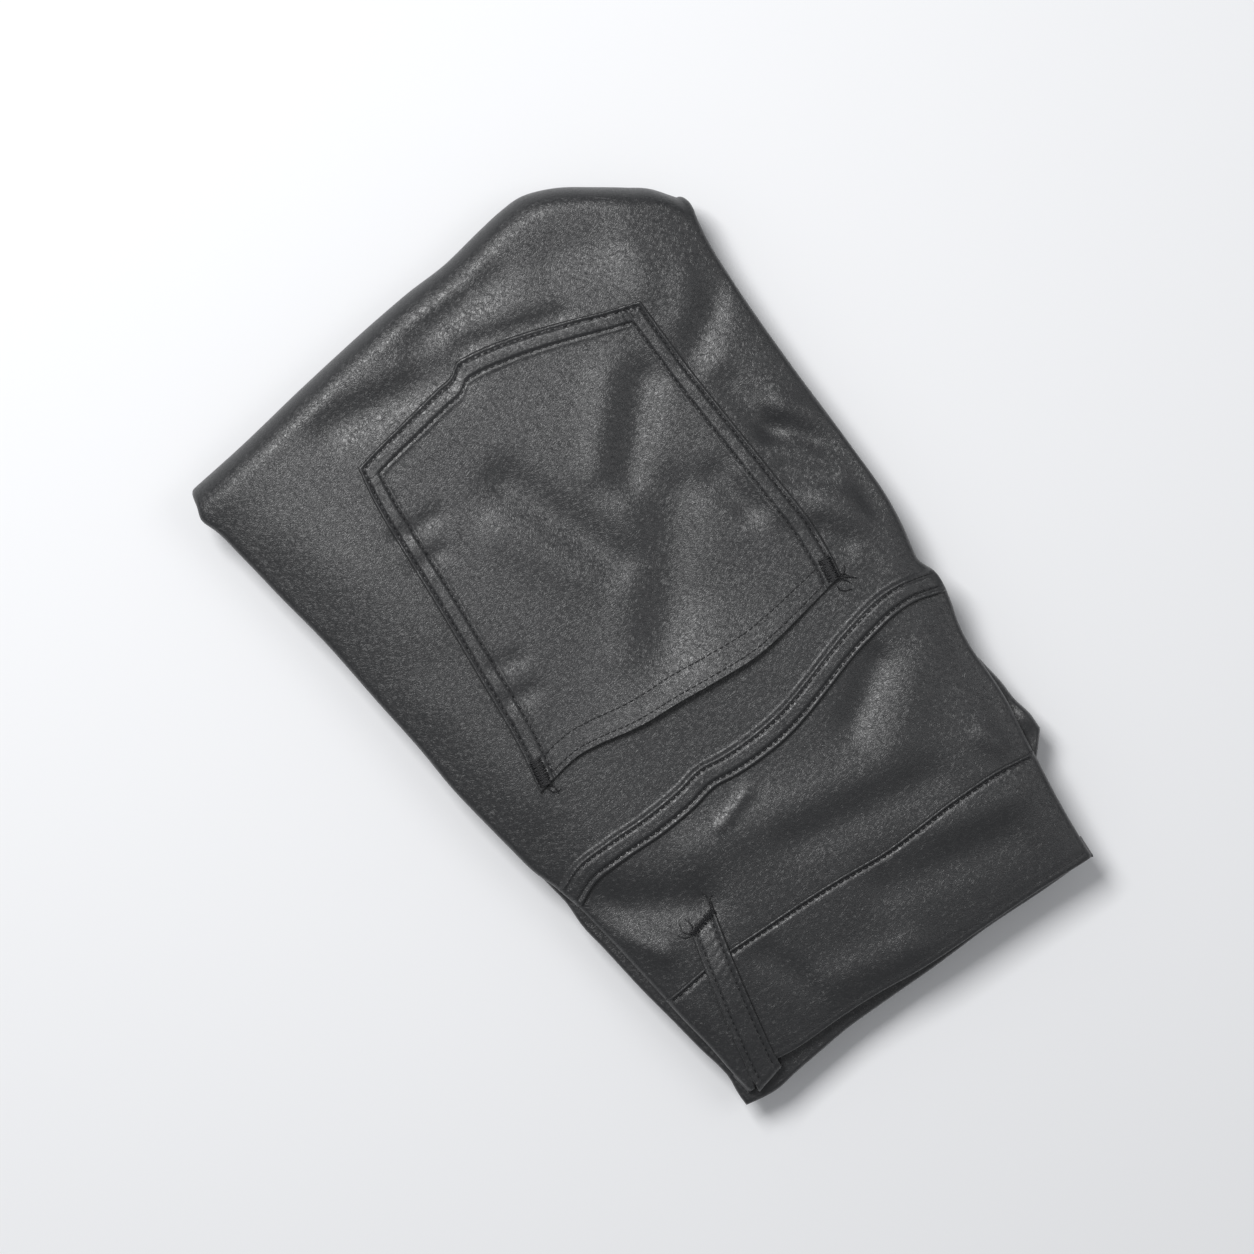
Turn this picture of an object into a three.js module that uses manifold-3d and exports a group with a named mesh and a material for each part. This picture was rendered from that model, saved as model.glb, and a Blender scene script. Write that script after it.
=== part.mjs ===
// Coated trousers, folded and laid down.
//
// The trousers are folded once along the centre-back seam, backs outward, and then rolled in
// thirds down the leg: over the thigh, along the table, up at the knee and in, hem inside.
// The outer back panel is one cloth all the way round. The hidden layers are one rounded solid
// whose sides show the six leg edges.
//
// Millimetres. X runs across, from the side seam (-X) to the centre back (+X). Y runs from the
// waist (-Y) to the fold at the thigh (+Y). Z is up, and the folded trousers rest on Z = 0.

import * as THREE from "three";
import Module from "manifold-3d";

const wasm = await Module();
wasm.setup();

// Driving dimensions.
const CLOTH = 1.2;          // one cloth wall
const GAP = 0.3;            // clearance between two cloths that touch
const LAYER = CLOTH + GAP;  // what a lapped cloth is lifted by
const HEIGHT = 29;          // stack height in the middle
const CROWN = 4;            // how much lower the stack is at its two long edges
const CROWN_REACH = 34;
const WAIST_DROP = 4.5;     // how much lower it is at the waist
const WAIST_REACH = 75;
const LIP = 2.4;            // radius at which a panel turns over the stack's edge
const SHOULDER = 5.2;       // from the edge to the first line of flat cloth
const FOLD_DEPTH = 13;      // depth along Y of the round fold at the thigh
const KNEE_DEPTH = 8;       // depth along Y of the round fold at the knee
const KNEE_SETBACK = 12;    // the knee fold lies this far behind the waist
const KNEE_SHARE = 0.58;    // and takes this share of the height
const FOLD_SLACK = 1.1;     // room between the hidden layers and the cloth round the thigh fold
const UNDER_INSET = 2.5;    // the cloth below is this much narrower on each side
const LEGS = 6;             // leg thicknesses in the stack
const POCKET_LIFT = 0.7;    // clearance under the patch pocket, over the dents of the panel
const LOOP_HALF = 6.7;      // half the width of the belt loop
const LOOP_SLACK = 0.6;     // clearance under the belt loop
const SEAT_REACH = 0.5;     // how far a seat runs past the end of the cloth in it

// The trousers' long edges: the top leg's side edge, the other leg's edge beyond it, and the
// centre-back edge, at distances along Y.
const SIDES = [
  { y: -176, left: -72.6, other: -77.4, right: 93.6 },
  { y: -160, left: -74.2, other: -77.2, right: 94.6 },
  { y: -145, left: -75.6, other: -79.7, right: 95.9 },
  { y: -130, left: -77.6, other: -82.2, right: 98.1 },
  { y: -119, left: -79.4, other: -83.4, right: 100.2 },
  { y: -100, left: -82.0, other: -86.3, right: 103.0 },
  { y: -80, left: -84.3, other: -88.8, right: 103.6 },
  { y: -66, left: -86.3, other: -89.6, right: 104.9 },
  { y: -57, left: -88.6, other: -90.8, right: 107.5 },
  { y: -47, left: -92.0, other: -92.0, right: 109.0 },
  { y: -34, left: -94.6, other: -94.6, right: 107.1 },
  { y: -20, left: -96.8, other: -96.8, right: 109.9 },
  { y: 0, left: -99.6, other: -99.6, right: 111.4 },
  { y: 40, left: -103.1, other: -103.1, right: 111.7 },
  { y: 80, left: -107.1, other: -107.1, right: 111.9 },
  { y: 120, left: -113.2, other: -113.2, right: 113.4 },
  { y: 144, left: -118.6, other: -118.6, right: 117.0 },
  { y: 162, left: -117.5, other: -117.5, right: 117.0 },
];

// Lines across the trousers, at shares of the width: the waist's rim, the other half's rim
// below it, the seam of the waistband, the seam of the yoke and the fold at the thigh.
const LINES = {
  rim: [[0, -169], [0.08, -164.4], [0.28, -166], [0.5, -169], [0.72, -170.3], [1, -172.6]],
  otherRim: [[0, -173.2], [0.07, -175.6], [0.2, -173.2], [0.4, -172.4], [0.72, -172], [1, -173.2]],
  band: [[0, -119], [0.1, -117.2], [0.27, -117.5], [0.48, -119.2], [0.6, -121], [0.9, -120.8], [1, -123.6]],
  yoke: [[0, -68.5], [0.05, -64.8], [0.23, -64.2], [0.39, -61], [0.44, -62.4], [0.59, -61.2],
    [0.71, -54.9], [0.83, -49], [0.94, -47.6], [1, -51.3]],
  fold: [[0, 160.2], [0.09, 162.2], [0.27, 167.9], [0.5, 173.8], [0.68, 177.6], [0.77, 179],
    [0.84, 173.2], [0.9, 164.5], [0.97, 150.2], [1, 142]],
};

// Soft troughs (deep > 0) and ridges (deep < 0) between two points, with their half width.
const CREASES = [
  { x0: -52, y0: 147, x1: -2, y1: 137, wide: 11, deep: 1.5 },
  { x0: -2, y0: 155, x1: 32, y1: 156, wide: 9, deep: 1.3 },
  { x0: 58, y0: 89, x1: 31, y1: 60, wide: 11, deep: 1.8 },
  { x0: -10, y0: 86, x1: 8, y1: 36, wide: 11, deep: 1.8 },
  { x0: 42, y0: 44, x1: 5, y1: -2, wide: 14, deep: 1.5 },
  { x0: 104, y0: 100, x1: 83, y1: 86, wide: 9, deep: 1.8 },
  { x0: 86, y0: 66, x1: 104, y1: 24, wide: 9, deep: 2 },
  { x0: 91, y0: 8, x1: 98, y1: -14, wide: 10, deep: -1.2 },
  { x0: -78, y0: -76, x1: -46, y1: -96, wide: 11, deep: 1.8 },
  { x0: 70, y0: -60, x1: 46, y1: -76, wide: 10, deep: 1.6 },
  { x0: -33, y0: -84, x1: 53, y1: -98, wide: 12, deep: -1 },
  { x0: 60, y0: -140, x1: 86, y1: -148, wide: 12, deep: 1.2 },
];

// The leg edges from the table up: how far each lies inside the outline.
const LEG_EDGES = [
  { left: 7, right: 6.8, waist: 0 },
  { left: 6.2, right: 6.4, waist: 1 },
  { left: 8.4, right: 5.2, waist: 3 },
  { left: 6, right: 7.6, waist: 1 },
  { left: 3.3, right: 3.4, waist: 1.2 },
  { left: 2.9, right: 2.9, waist: 2.6 },
];

// The patch pocket: mouth and lower edge at shares of its width, sides at shares of its height.
const POCKET = {
  mouth: [[0, -22.5], [0.1, -19.3], [0.2, -20], [0.32, -23.5], [0.45, -25.1], [0.7, -28], [1, -21.3]],
  foot: [[0, 126.7], [0.1, 129], [0.3, 133.6], [0.43, 138.4], [0.7, 127.6], [1, 115.2]],
  left: [[0, -71.4], [0.5, -62.6], [1, -54.9]],
  right: [[0, 77.7], [0.14, 80.4], [0.6, 77.6], [1, 76.3]],
};
const POCKET_GAPE = 2.6;    // how far the mouth stands off the panel at its middle

// The belt loop's middle line, from its tack on the yoke to past the rim.
const LOOP_LINE = [
  { x: -48.6, y: -101.2, lift: 0 },
  { x: -50.4, y: -109, lift: 0.7 },
  { x: -52.4, y: -116.5, lift: 1.9 },
  { x: -54.6, y: -126, lift: 2.1 },
  { x: -57.2, y: -136, lift: 2.4 },
  { x: -59.4, y: -146, lift: 2.3 },
  { x: -61.4, y: -156, lift: 1.9 },
  { x: -62.6, y: -162, lift: 1.6 },
];

const lerp = (a, b, share) => a + (b - a) * share;
const clamp = (value, low, high) => Math.min(Math.max(value, low), high);

/** Reads a table of [at, value] rows at a place between its rows. */
function along(rows, at) {
  const last = rows.length - 1;
  const place = clamp(at, rows[0][0], rows[last][0]);
  let row = 0;
  while (row < last - 1 && rows[row + 1][0] < place) row += 1;
  const [a, b] = [rows[row], rows[row + 1]];
  return lerp(a[1], b[1], (place - a[0]) / (b[0] - a[0]));
}

const column = (name) => SIDES.map((row) => [row.y, row[name]]);
const LEFT = column("left");
const OTHER = column("other");
const RIGHT = column("right");

/** X across the trousers at a share of the width, with both edges moved in. */
function across(share, y, left = 0, right = 0) {
  return lerp(along(LEFT, y) + left, along(RIGHT, y) - right, share);
}

/** How deep the troughs are at a point, less the ridges. */
function creaseDepth(x, y) {
  return CREASES.reduce((sum, c) => {
    const [dx, dy] = [c.x1 - c.x0, c.y1 - c.y0];
    const share = clamp(((x - c.x0) * dx + (y - c.y0) * dy) / (dx * dx + dy * dy), 0, 1);
    const off = Math.hypot(x - c.x0 - share * dx, y - c.y0 - share * dy);
    return sum + c.deep * Math.exp(-((off / c.wide) ** 2));
  }, 0);
}

/** Height of the cloth's outer face over the table: a low crown with creases. */
function topHeight(x, y) {
  const edge = Math.max(Math.min(x - along(LEFT, y), along(RIGHT, y) - x), 0);
  const share = (x - along(LEFT, y)) / (along(RIGHT, y) - along(LEFT, y));
  const fromRim = Math.max(y - along(LINES.rim, share), 0);
  const side = CROWN * (1 - clamp(edge / CROWN_REACH, 0, 1)) ** 2;
  const waist = WAIST_DROP * (1 - clamp(fromRim / WAIST_REACH, 0, 1)) ** 2;
  const calm = clamp(edge / 14, 0, 1) * clamp(fromRim / 10, 0, 1);
  return HEIGHT - Math.hypot(side, waist) - calm * creaseDepth(x, y);
}

// Columns of the cloth, across: the lip at each edge, the shoulder, and even steps between.
const LIP_ANGLES = [-22, 32, 90];
const FLAT_COLUMNS = 15;
const COLUMNS = [
  ...LIP_ANGLES.map((angle) => ({ edge: "left", angle })),
  ...Array.from({ length: FLAT_COLUMNS }, (_, k) => ({ share: k / (FLAT_COLUMNS - 1) })),
  ...LIP_ANGLES.map((angle) => ({ edge: "right", angle })).reverse(),
];
const FIRST_FLAT = LIP_ANGLES.length;
const LAST_FLAT = FIRST_FLAT + FLAT_COLUMNS - 1;

/** The place of a column: its X, how far the lip has dropped there, and its share of width. */
function columnPlace(col, y, inset = 0) {
  if (col.edge === undefined) {
    const x = across(col.share, y, SHOULDER + inset, SHOULDER + inset);
    return { x, drop: 0, share: lerp(0.022, 0.978, col.share) };
  }
  const turn = THREE.MathUtils.degToRad(col.angle);
  const off = LIP * (1 - Math.cos(turn)) + inset;
  const right = col.edge === "right";
  return { x: across(right ? 1 : 0, y, off, off), drop: LIP * (1 - Math.sin(turn)), share: right ? 1 : 0 };
}

// Rows of the cloth, down the leg, from seam to seam. "lift" raises the lapped cloth.
const steps = (count, make) => Array.from({ length: count }, (_, k) => make((k + 1) / (count + 1)));
const ROWS = [
  { name: "rim", line: "rim", off: 0 },
  { name: "rimShoulder", line: "rim", off: 2 },
  { line: "rim", off: 5 },
  ...steps(2, (share) => ({ from: ["rim", 5], to: ["band", -9.2], share })),
  { name: "facingEnd", line: "band", off: -9.2 },
  { name: "yokeStart", line: "band", off: -8.6 },
  { name: "bandEdge", line: "band", off: 0 },
  ...steps(4, (share) => ({ from: ["band", 0], to: ["yoke", 0], share })),
  { name: "seamEdge", line: "yoke", off: 0 },
  { name: "yokeEnd", line: "yoke", off: 7.4 },
  { name: "seamFoot", line: "yoke", off: 8.4 },
  { name: "panelFlat", line: "yoke", off: 11.4 },
  ...steps(12, (share) => ({ from: ["yoke", 11.4], to: ["fold", -FOLD_DEPTH], share })),
  { name: "foldTop", line: "fold", off: -FOLD_DEPTH },
];
const rowIndex = (name) => ROWS.findIndex((row) => row.name === name);

function rowY(row, share) {
  if (row.line) return along(LINES[row.line], share) + row.off;
  const [from, to] = [row.from, row.to].map(([line, off]) => along(LINES[line], share) + off);
  return lerp(from, to, row.share);
}

/** A point of the cloth's outer face at a column and a row of the top. */
function topPoint(col, row, extraInset = 0) {
  const y = rowY(row, columnPlace(col, 0).share);
  const { x, drop } = columnPlace(col, y, extraInset);
  return new THREE.Vector3(x, y, topHeight(x, y) - drop);
}

/** A point on a round fold: an ellipse in the Y-Z plane, with the lips turned inward. */
function foldPoint(col, angle, middle, depth, low, high, inset) {
  const turn = THREE.MathUtils.degToRad(angle);
  const share = columnPlace(col, 0).share;
  const y = middle(share) + depth * Math.sin(turn);
  const { x, drop } = columnPlace(col, y, inset);
  const reach = 1 - (2 * drop) / (high(x, y) - low);
  const half = (high(x, y) - low) / 2;
  return new THREE.Vector3(x, middle(share) + depth * Math.sin(turn) * reach, low + half + half * Math.cos(turn) * reach);
}

const foldMiddle = (share) => along(LINES.fold, share) - FOLD_DEPTH;
const kneeMiddle = (share) => along(LINES.rim, share) + KNEE_SETBACK + KNEE_DEPTH;
const kneeHeight = (x, y) => KNEE_SHARE * topHeight(x, y);

/** Outer face of the back panel: top, round the thigh, along the table and up at the knee. */
function backPanelGrid() {
  const rows = ROWS.slice(rowIndex("seamEdge")).map((row) => ({ row }));
  const lifted = new Set(["seamEdge", "yokeEnd", "seamFoot"]);
  const grid = rows.map(({ row }) => ({
    lift: lifted.has(row.name) ? LAYER : 0,
    points: COLUMNS.map((col) => topPoint(col, row)),
  }));
  for (const angle of [30, 60, 90, 120, 150, 180]) {
    const inset = UNDER_INSET * (angle / 180);
    grid.push({
      lift: 0,
      points: COLUMNS.map((col) => foldPoint(col, angle, foldMiddle, FOLD_DEPTH, 0,
        (x, y) => topHeight(x, Math.min(y, foldMiddle(columnPlace(col, 0).share))), inset)),
    });
  }
  for (const share of [0.25, 0.5, 0.75]) {
    grid.push({
      lift: 0,
      points: COLUMNS.map((col) => {
        const place = columnPlace(col, 0).share;
        const y = lerp(foldMiddle(place), kneeMiddle(place), share);
        const { x, drop } = columnPlace(col, y, UNDER_INSET);
        return new THREE.Vector3(x, y, drop);
      }),
    });
  }
  for (const angle of [180, 215, 250, 290, 325]) {
    grid.push({
      lift: 0,
      points: COLUMNS.map((col) => foldPoint(col, angle, kneeMiddle, KNEE_DEPTH, 0, kneeHeight, UNDER_INSET)),
    });
  }
  return grid;
}

/** Outward normals of a grid of points, from its neighbours. */
function gridNormals(points) {
  return points.map((row, j) => row.map((_, i) => {
    const up = points[Math.min(j + 1, points.length - 1)][i];
    const down = points[Math.max(j - 1, 0)][i];
    const right = row[Math.min(i + 1, row.length - 1)];
    const left = row[Math.max(i - 1, 0)];
    return right.clone().sub(left).cross(up.clone().sub(down)).normalize();
  }));
}

/** Moves the points of a grid out along its normals, by one distance or by one for each row. */
function movedOut(points, distance) {
  const normals = gridNormals(points);
  const by = (j, i) => (typeof distance === "function" ? distance(j, i) : distance);
  return points.map((row, j) => row.map((p, i) => p.clone().addScaledVector(normals[j][i], by(j, i))));
}

/** A closed wall between an outer and an inner grid of points. */
function wall(outer, inner) {
  const [rows, cols] = [outer.length, outer[0].length];
  const positions = [...outer.flat(), ...inner.flat()].flatMap((p) => [p.x, p.y, p.z]);
  const at = (j, i, side = 0) => side * rows * cols + j * cols + i;
  const faces = [];
  const quad = (a, b, c, d) => faces.push(a, b, c, a, c, d);
  for (let j = 0; j < rows - 1; j += 1) {
    for (let i = 0; i < cols - 1; i += 1) {
      quad(at(j, i), at(j, i + 1), at(j + 1, i + 1), at(j + 1, i));
      quad(at(j, i, 1), at(j + 1, i, 1), at(j + 1, i + 1, 1), at(j, i + 1, 1));
    }
  }
  for (let i = 0; i < cols - 1; i += 1) {
    quad(at(0, i, 1), at(0, i + 1, 1), at(0, i + 1), at(0, i));
    quad(at(rows - 1, i), at(rows - 1, i + 1), at(rows - 1, i + 1, 1), at(rows - 1, i, 1));
  }
  for (let j = 0; j < rows - 1; j += 1) {
    quad(at(j, 0), at(j + 1, 0), at(j + 1, 0, 1), at(j, 0, 1));
    quad(at(j, cols - 1, 1), at(j + 1, cols - 1, 1), at(j + 1, cols - 1), at(j, cols - 1));
  }
  const geometry = new THREE.BufferGeometry();
  geometry.setAttribute("position", new THREE.Float32BufferAttribute(positions, 3));
  geometry.setIndex(faces);
  return geometry;
}

const clothWall = (points) => wall(points, movedOut(points, -CLOTH));

/** The top's own grid between two named rows, all the way across. */
function topGrid(first, last, extraInset = 0) {
  return ROWS.slice(rowIndex(first), rowIndex(last) + 1)
    .map((row) => COLUMNS.map((col) => topPoint(col, row, extraInset)));
}

function backPanel() {
  const grid = backPanelGrid();
  const points = grid.map((row) => row.points);
  return clothWall(movedOut(points, (j) => grid[j].lift));
}

function backYoke() {
  return clothWall(topGrid("yokeStart", "yokeEnd"));
}

/** The waistband's outer cloth, lifted over the yoke, with its rim rolled down. */
function waistband() {
  const flat = topGrid("rimShoulder", "bandEdge");
  const lifted = movedOut(flat, LAYER);
  const roll = [[-1.6, 1.9], [-1.2, 0.7]].map(([off, drop]) => lifted[0]
    .map((p) => new THREE.Vector3(p.x, p.y + off, p.z - drop)));
  return clothWall([...roll, ...lifted]);
}

/** The waistband's inner cloth, under the outer one. */
function waistbandFacing() {
  return clothWall(topGrid("rimShoulder", "facingEnd"));
}

/** Height of the faceted top at a point, read between the columns and rows around it. */
function facetHeight(x, y) {
  const share = (x - across(0, y, SHOULDER)) / (across(1, y, 0, SHOULDER) - across(0, y, SHOULDER));
  const i = clamp(Math.floor(share * (FLAT_COLUMNS - 1)), 0, FLAT_COLUMNS - 2) + FIRST_FLAT;
  const rows = ROWS.map((row) => rowY(row, columnPlace(COLUMNS[i], 0).share));
  const j = clamp(rows.findIndex((value) => value > y) - 1, 0, ROWS.length - 2);
  const corner = (dj, di) => topPoint(COLUMNS[i + di], ROWS[j + dj]);
  const u = clamp(share * (FLAT_COLUMNS - 1) - (i - FIRST_FLAT), 0, 1);
  const v = clamp((y - rows[j]) / (rows[j + 1] - rows[j]), 0, 1);
  const near = lerp(corner(0, 0).z, corner(0, 1).z, u);
  return lerp(near, lerp(corner(1, 0).z, corner(1, 1).z, u), v);
}

/** The patch pocket on the back panel, its mouth standing off. */
function backPocket() {
  const [wide, high] = [13, 12];
  const points = Array.from({ length: high + 1 }, (_, j) => Array.from({ length: wide + 1 }, (_, i) => {
    const [p, q] = [i / wide, j / high];
    const y = lerp(along(POCKET.mouth, p), along(POCKET.foot, p), q);
    const x = lerp(along(POCKET.left, q), along(POCKET.right, q), p);
    const gape = POCKET_GAPE * Math.sin(Math.PI * p) ** 2 * clamp(1 - q / 0.22, 0, 1) ** 1.5;
    return new THREE.Vector3(x, y, facetHeight(x, y) + POCKET_LIFT + CLOTH + gape);
  }));
  return clothWall(points);
}

/** The belt loop: a narrow strip over the waistband, tacked on the yoke, turned over the rim. */
function beltLoop() {
  const places = [-1, -0.5, 0, 0.5, 1];
  const strip = LOOP_LINE.map((row, j) => {
    const [a, b] = [LOOP_LINE[Math.max(j - 1, 0)], LOOP_LINE[Math.min(j + 1, LOOP_LINE.length - 1)]];
    const length = Math.hypot(b.x - a.x, b.y - a.y);
    const [sx, sy] = [-(b.y - a.y) / length, (b.x - a.x) / length];
    return places.map((place) => {
      const [x, y] = [row.x + place * LOOP_HALF * sx, row.y + place * LOOP_HALF * sy];
      const crown = 0.5 * (1 - place * place);
      return new THREE.Vector3(x, y, facetHeight(x, y) + row.lift + LOOP_SLACK + CLOTH + crown);
    });
  });
  const end = strip[strip.length - 1];
  const over = [[-3.6, 0.4], [-6.4, 1.9], [-7.6, 5]].map(([off, drop]) => end
    .map((p) => new THREE.Vector3(p.x + off * -0.12, p.y + off, p.z - drop)));
  return clothWall([...strip, ...over].map((row) => row.reverse()).reverse());
}

// Edges of layers below the top: a hook of cloth round the edge of a leg, listed as distance
// inside the edge and share of the stack's height.
const HOOK = [[11, 0.75], [3, 0.75], [0.8, 0.725], [0, 0.68], [0.8, 0.63], [3, 0.605], [8, 0.605]];

/** A point of the other half's edge: along its side, round the corner or along its rim. */
function otherEdge(place, inset) {
  if (place.side) {
    const y = Math.max(place.y, along(LINES.otherRim, 0) + inset);
    return [along(OTHER, y) + inset, y];
  }
  const y = along(LINES.otherRim, place.share) + inset;
  const start = along(OTHER, y) + inset;
  return [lerp(start, along(RIGHT, y) - 3 - inset, place.share), y];
}

/** The grid of a hook of cloth carried along part of an edge. */
function hookGrid(places, point, hook) {
  return hook.map(([inset, share]) => places.map((place) => {
    const [x, y] = point(place, inset);
    return new THREE.Vector3(x, y, share * topHeight(x, y));
  }));
}

const sidePlaces = (from, to, count) => Array.from({ length: count + 1 },
  (_, k) => ({ side: true, y: lerp(from, to, k / count) }));
const rimPlaces = [0.98, 0.8, 0.6, 0.4, 0.24, 0.12, 0.06, 0].map((share) => ({ share }));

// The corner of the lower leg that stands out past the centre-back edge.
const CORNER_ROWS = [
  { y: -74, x: 102.6 }, { y: -82, x: 104.6 }, { y: -92, x: 105.6 }, { y: -102, x: 106.6 },
  { y: -112, x: 107.7 }, { y: -119, x: 108.1 }, { y: -123, x: 104.6 }, { y: -129, x: 99 },
];
const CORNER_HOOK = [[10, 0.6], [3, 0.6], [0.8, 0.575], [0, 0.53], [0.8, 0.48], [3, 0.455], [9, 0.455]];
const cornerPoint = (place, inset) => [place.x - inset, place.y];

const HOOKS = {
  other_back_edge: { places: sidePlaces(-75.4, -48, 3), point: otherEdge, hook: HOOK },
  other_yoke_edge: { places: sidePlaces(-129.6, -75.9, 5), point: otherEdge, hook: HOOK },
  other_waistband: { places: [...rimPlaces, ...sidePlaces(-168, -130.1, 4)], point: otherEdge, hook: HOOK },
  front_panel_corner: { places: CORNER_ROWS, point: cornerPoint, hook: CORNER_HOOK },
};

/** The outer and inner faces of a hook, or of its seat, which runs further on every side. */
function hookFaces({ places, point, hook }, grow) {
  const deeper = ([inset, share]) => [inset + SEAT_REACH, share];
  const deep = [deeper(hook[0]), ...hook, deeper(hook[hook.length - 1])];
  const points = hookGrid(places, point, deep).map((row) => [
    beyond(row[0], row[1]), ...row, beyond(row[row.length - 1], row[row.length - 2]),
  ]);
  return [movedOut(points, grow), movedOut(points, -CLOTH - grow)];
}

/** The hook's own cloth: its seat without the clearance. */
function hookWall(edge) {
  const [outer, inner] = hookFaces(edge, 0).map((grid) => grid.slice(1, -1).map((row) => row.slice(1, -1)));
  return wall(outer, inner);
}

/** A hook with its clearance on every side, to cut its seat in the hidden layers. */
function hookSeat(edge) {
  const [outer, inner] = hookFaces(edge, GAP);
  return wall(outer, inner);
}

/** A point carried past the end of a row, away from its neighbour. */
function beyond(end, neighbour) {
  return end.clone().addScaledVector(end.clone().sub(neighbour).normalize(), SEAT_REACH);
}

/** How far inside the outline the hidden layers lie, at a share of the stack's height. */
function coreInsets(share) {
  const place = clamp(share, 0, 1) * LEGS;
  const leg = LEG_EDGES[Math.min(Math.floor(place), LEGS - 1)];
  const round = 1.7 * (1 - Math.sqrt(Math.max(1 - (2 * (place % 1 || (share >= 1 ? 1 : 0)) - 1) ** 2, 0)));
  const ellipse = (at) => 1 - Math.sqrt(Math.max(1 - (2 * at - 1) ** 2, 0));
  const knee = share < KNEE_SHARE + 0.03;
  return {
    left: leg.left + round,
    right: leg.right + round,
    fold: LAYER + FOLD_SLACK + FOLD_DEPTH * ellipse(share),
    waist: leg.waist + round + (knee
      ? KNEE_SETBACK + 2.4 + KNEE_DEPTH * ellipse(clamp(share / (KNEE_SHARE + 0.03), 0, 1)) : 0),
  };
}

const CAP_ROWS = [rowIndex("rimShoulder") + 1, ROWS.length - 1];

/** A point on the side of the hidden layers, at a share of the height. */
function corePoint(sideShare, rowShare, share) {
  const inset = coreInsets(share);
  const y = lerp(along(LINES.rim, sideShare) + inset.waist, along(LINES.fold, sideShare) - inset.fold, rowShare);
  const x = across(sideShare, y, inset.left, inset.right);
  const top = topHeight(x, y);
  const floor = CLOTH + GAP;
  return new THREE.Vector3(x, y, lerp(floor, top - floor - 0.1, share));
}

/** The hidden layers: capped with the top's own points, moved in, over rings of leg edges. */
function hiddenLayers() {
  const rows = ROWS.slice(CAP_ROWS[0], CAP_ROWS[1] + 1);
  const cols = COLUMNS.slice(FIRST_FLAT, LAST_FLAT + 1);
  const cap = rows.map((row) => cols.map((col) => {
    const p = topPoint(col, row);
    return new THREE.Vector3(p.x, p.y, p.z - LAYER - 0.12);
  }));
  const places = rows.map((row, j) => j / (rows.length - 1));
  const rowShare = (j, i) => {
    const [a, b] = [cap[0][i].y, cap[rows.length - 1][i].y];
    return (cap[j][i].y - a) / (b - a);
  };
  const boundary = [];
  for (let i = 0; i < cols.length; i += 1) boundary.push([0, i]);
  for (let j = 1; j < rows.length; j += 1) boundary.push([j, cols.length - 1]);
  for (let i = cols.length - 2; i >= 0; i -= 1) boundary.push([rows.length - 1, i]);
  for (let j = rows.length - 2; j > 0; j -= 1) boundary.push([j, 0]);
  const levels = [];
  for (let leg = LEGS - 1; leg >= 0; leg -= 1) {
    for (const part of [0.86, 0.5, 0.14]) levels.push((leg + part) / LEGS);
  }
  const sideShare = (i) => columnPlace(cols[i], 0).share;
  const edgeShare = (i) => (i === 0 ? 0 : i === cols.length - 1 ? 1 : sideShare(i));
  const ring = (share) => boundary.map(([j, i]) => corePoint(edgeShare(i), places.length > 1 ? rowShare(j, i) : 0, share));
  const rings = [boundary.map(([j, i]) => cap[j][i]), ...levels.map(ring)];
  const bottom = cap.map((row, j) => row.map((p, i) => {
    const q = corePoint(edgeShare(i), rowShare(j, i), 0.005);
    return new THREE.Vector3(q.x, q.y, CLOTH + GAP);
  }));
  return skinned(cap, rings, bottom, boundary);
}

/** Closes a top grid, rings and a bottom grid into one body. */
function skinned(cap, rings, bottom, boundary) {
  const positions = [];
  const add = (p) => positions.push(p.x, p.y, p.z) / 3 - 1;
  const capAt = cap.map((row) => row.map(add));
  const bottomAt = bottom.map((row) => row.map(add));
  const ringAt = [boundary.map(([j, i]) => capAt[j][i]), ...rings.slice(1).map((ring) => ring.map(add)),
    boundary.map(([j, i]) => bottomAt[j][i])];
  const faces = [];
  const quad = (a, b, c, d) => faces.push(a, b, c, a, c, d);
  for (let j = 0; j < cap.length - 1; j += 1) {
    for (let i = 0; i < cap[0].length - 1; i += 1) {
      quad(capAt[j][i], capAt[j][i + 1], capAt[j + 1][i + 1], capAt[j + 1][i]);
      quad(bottomAt[j][i], bottomAt[j + 1][i], bottomAt[j + 1][i + 1], bottomAt[j][i + 1]);
    }
  }
  ringAt.slice(1).forEach((low, k) => {
    const high = ringAt[k];
    low.forEach((_, m) => {
      const next = (m + 1) % low.length;
      quad(high[m], low[m], low[next], high[next]);
    });
  });
  const geometry = new THREE.BufferGeometry();
  geometry.setAttribute("position", new THREE.Float32BufferAttribute(positions, 3));
  geometry.setIndex(faces);
  return geometry;
}

function asSolid(geometry) {
  return new wasm.Manifold(new wasm.Mesh({
    numProp: 3,
    vertProperties: new Float32Array(geometry.getAttribute("position").array),
    triVerts: new Uint32Array(geometry.getIndex().array),
  }));
}

function asGeometry(solid) {
  const mesh = solid.getMesh();
  const geometry = new THREE.BufferGeometry();
  geometry.setAttribute("position", new THREE.BufferAttribute(mesh.vertProperties.slice(), 3));
  geometry.setIndex(new THREE.BufferAttribute(mesh.triVerts.slice(), 1));
  return geometry;
}

const CLOTH_FINISH = { color: "#3b3c3f", roughness: 0.42 };
const INNER_FINISH = { color: "#1d1e20", roughness: 0.7 };

function piece(name, geometry, { color, roughness }) {
  const mesh = new THREE.Mesh(geometry, new THREE.MeshStandardMaterial({ color, roughness, metalness: 0 }));
  mesh.name = name;
  return mesh;
}

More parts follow.
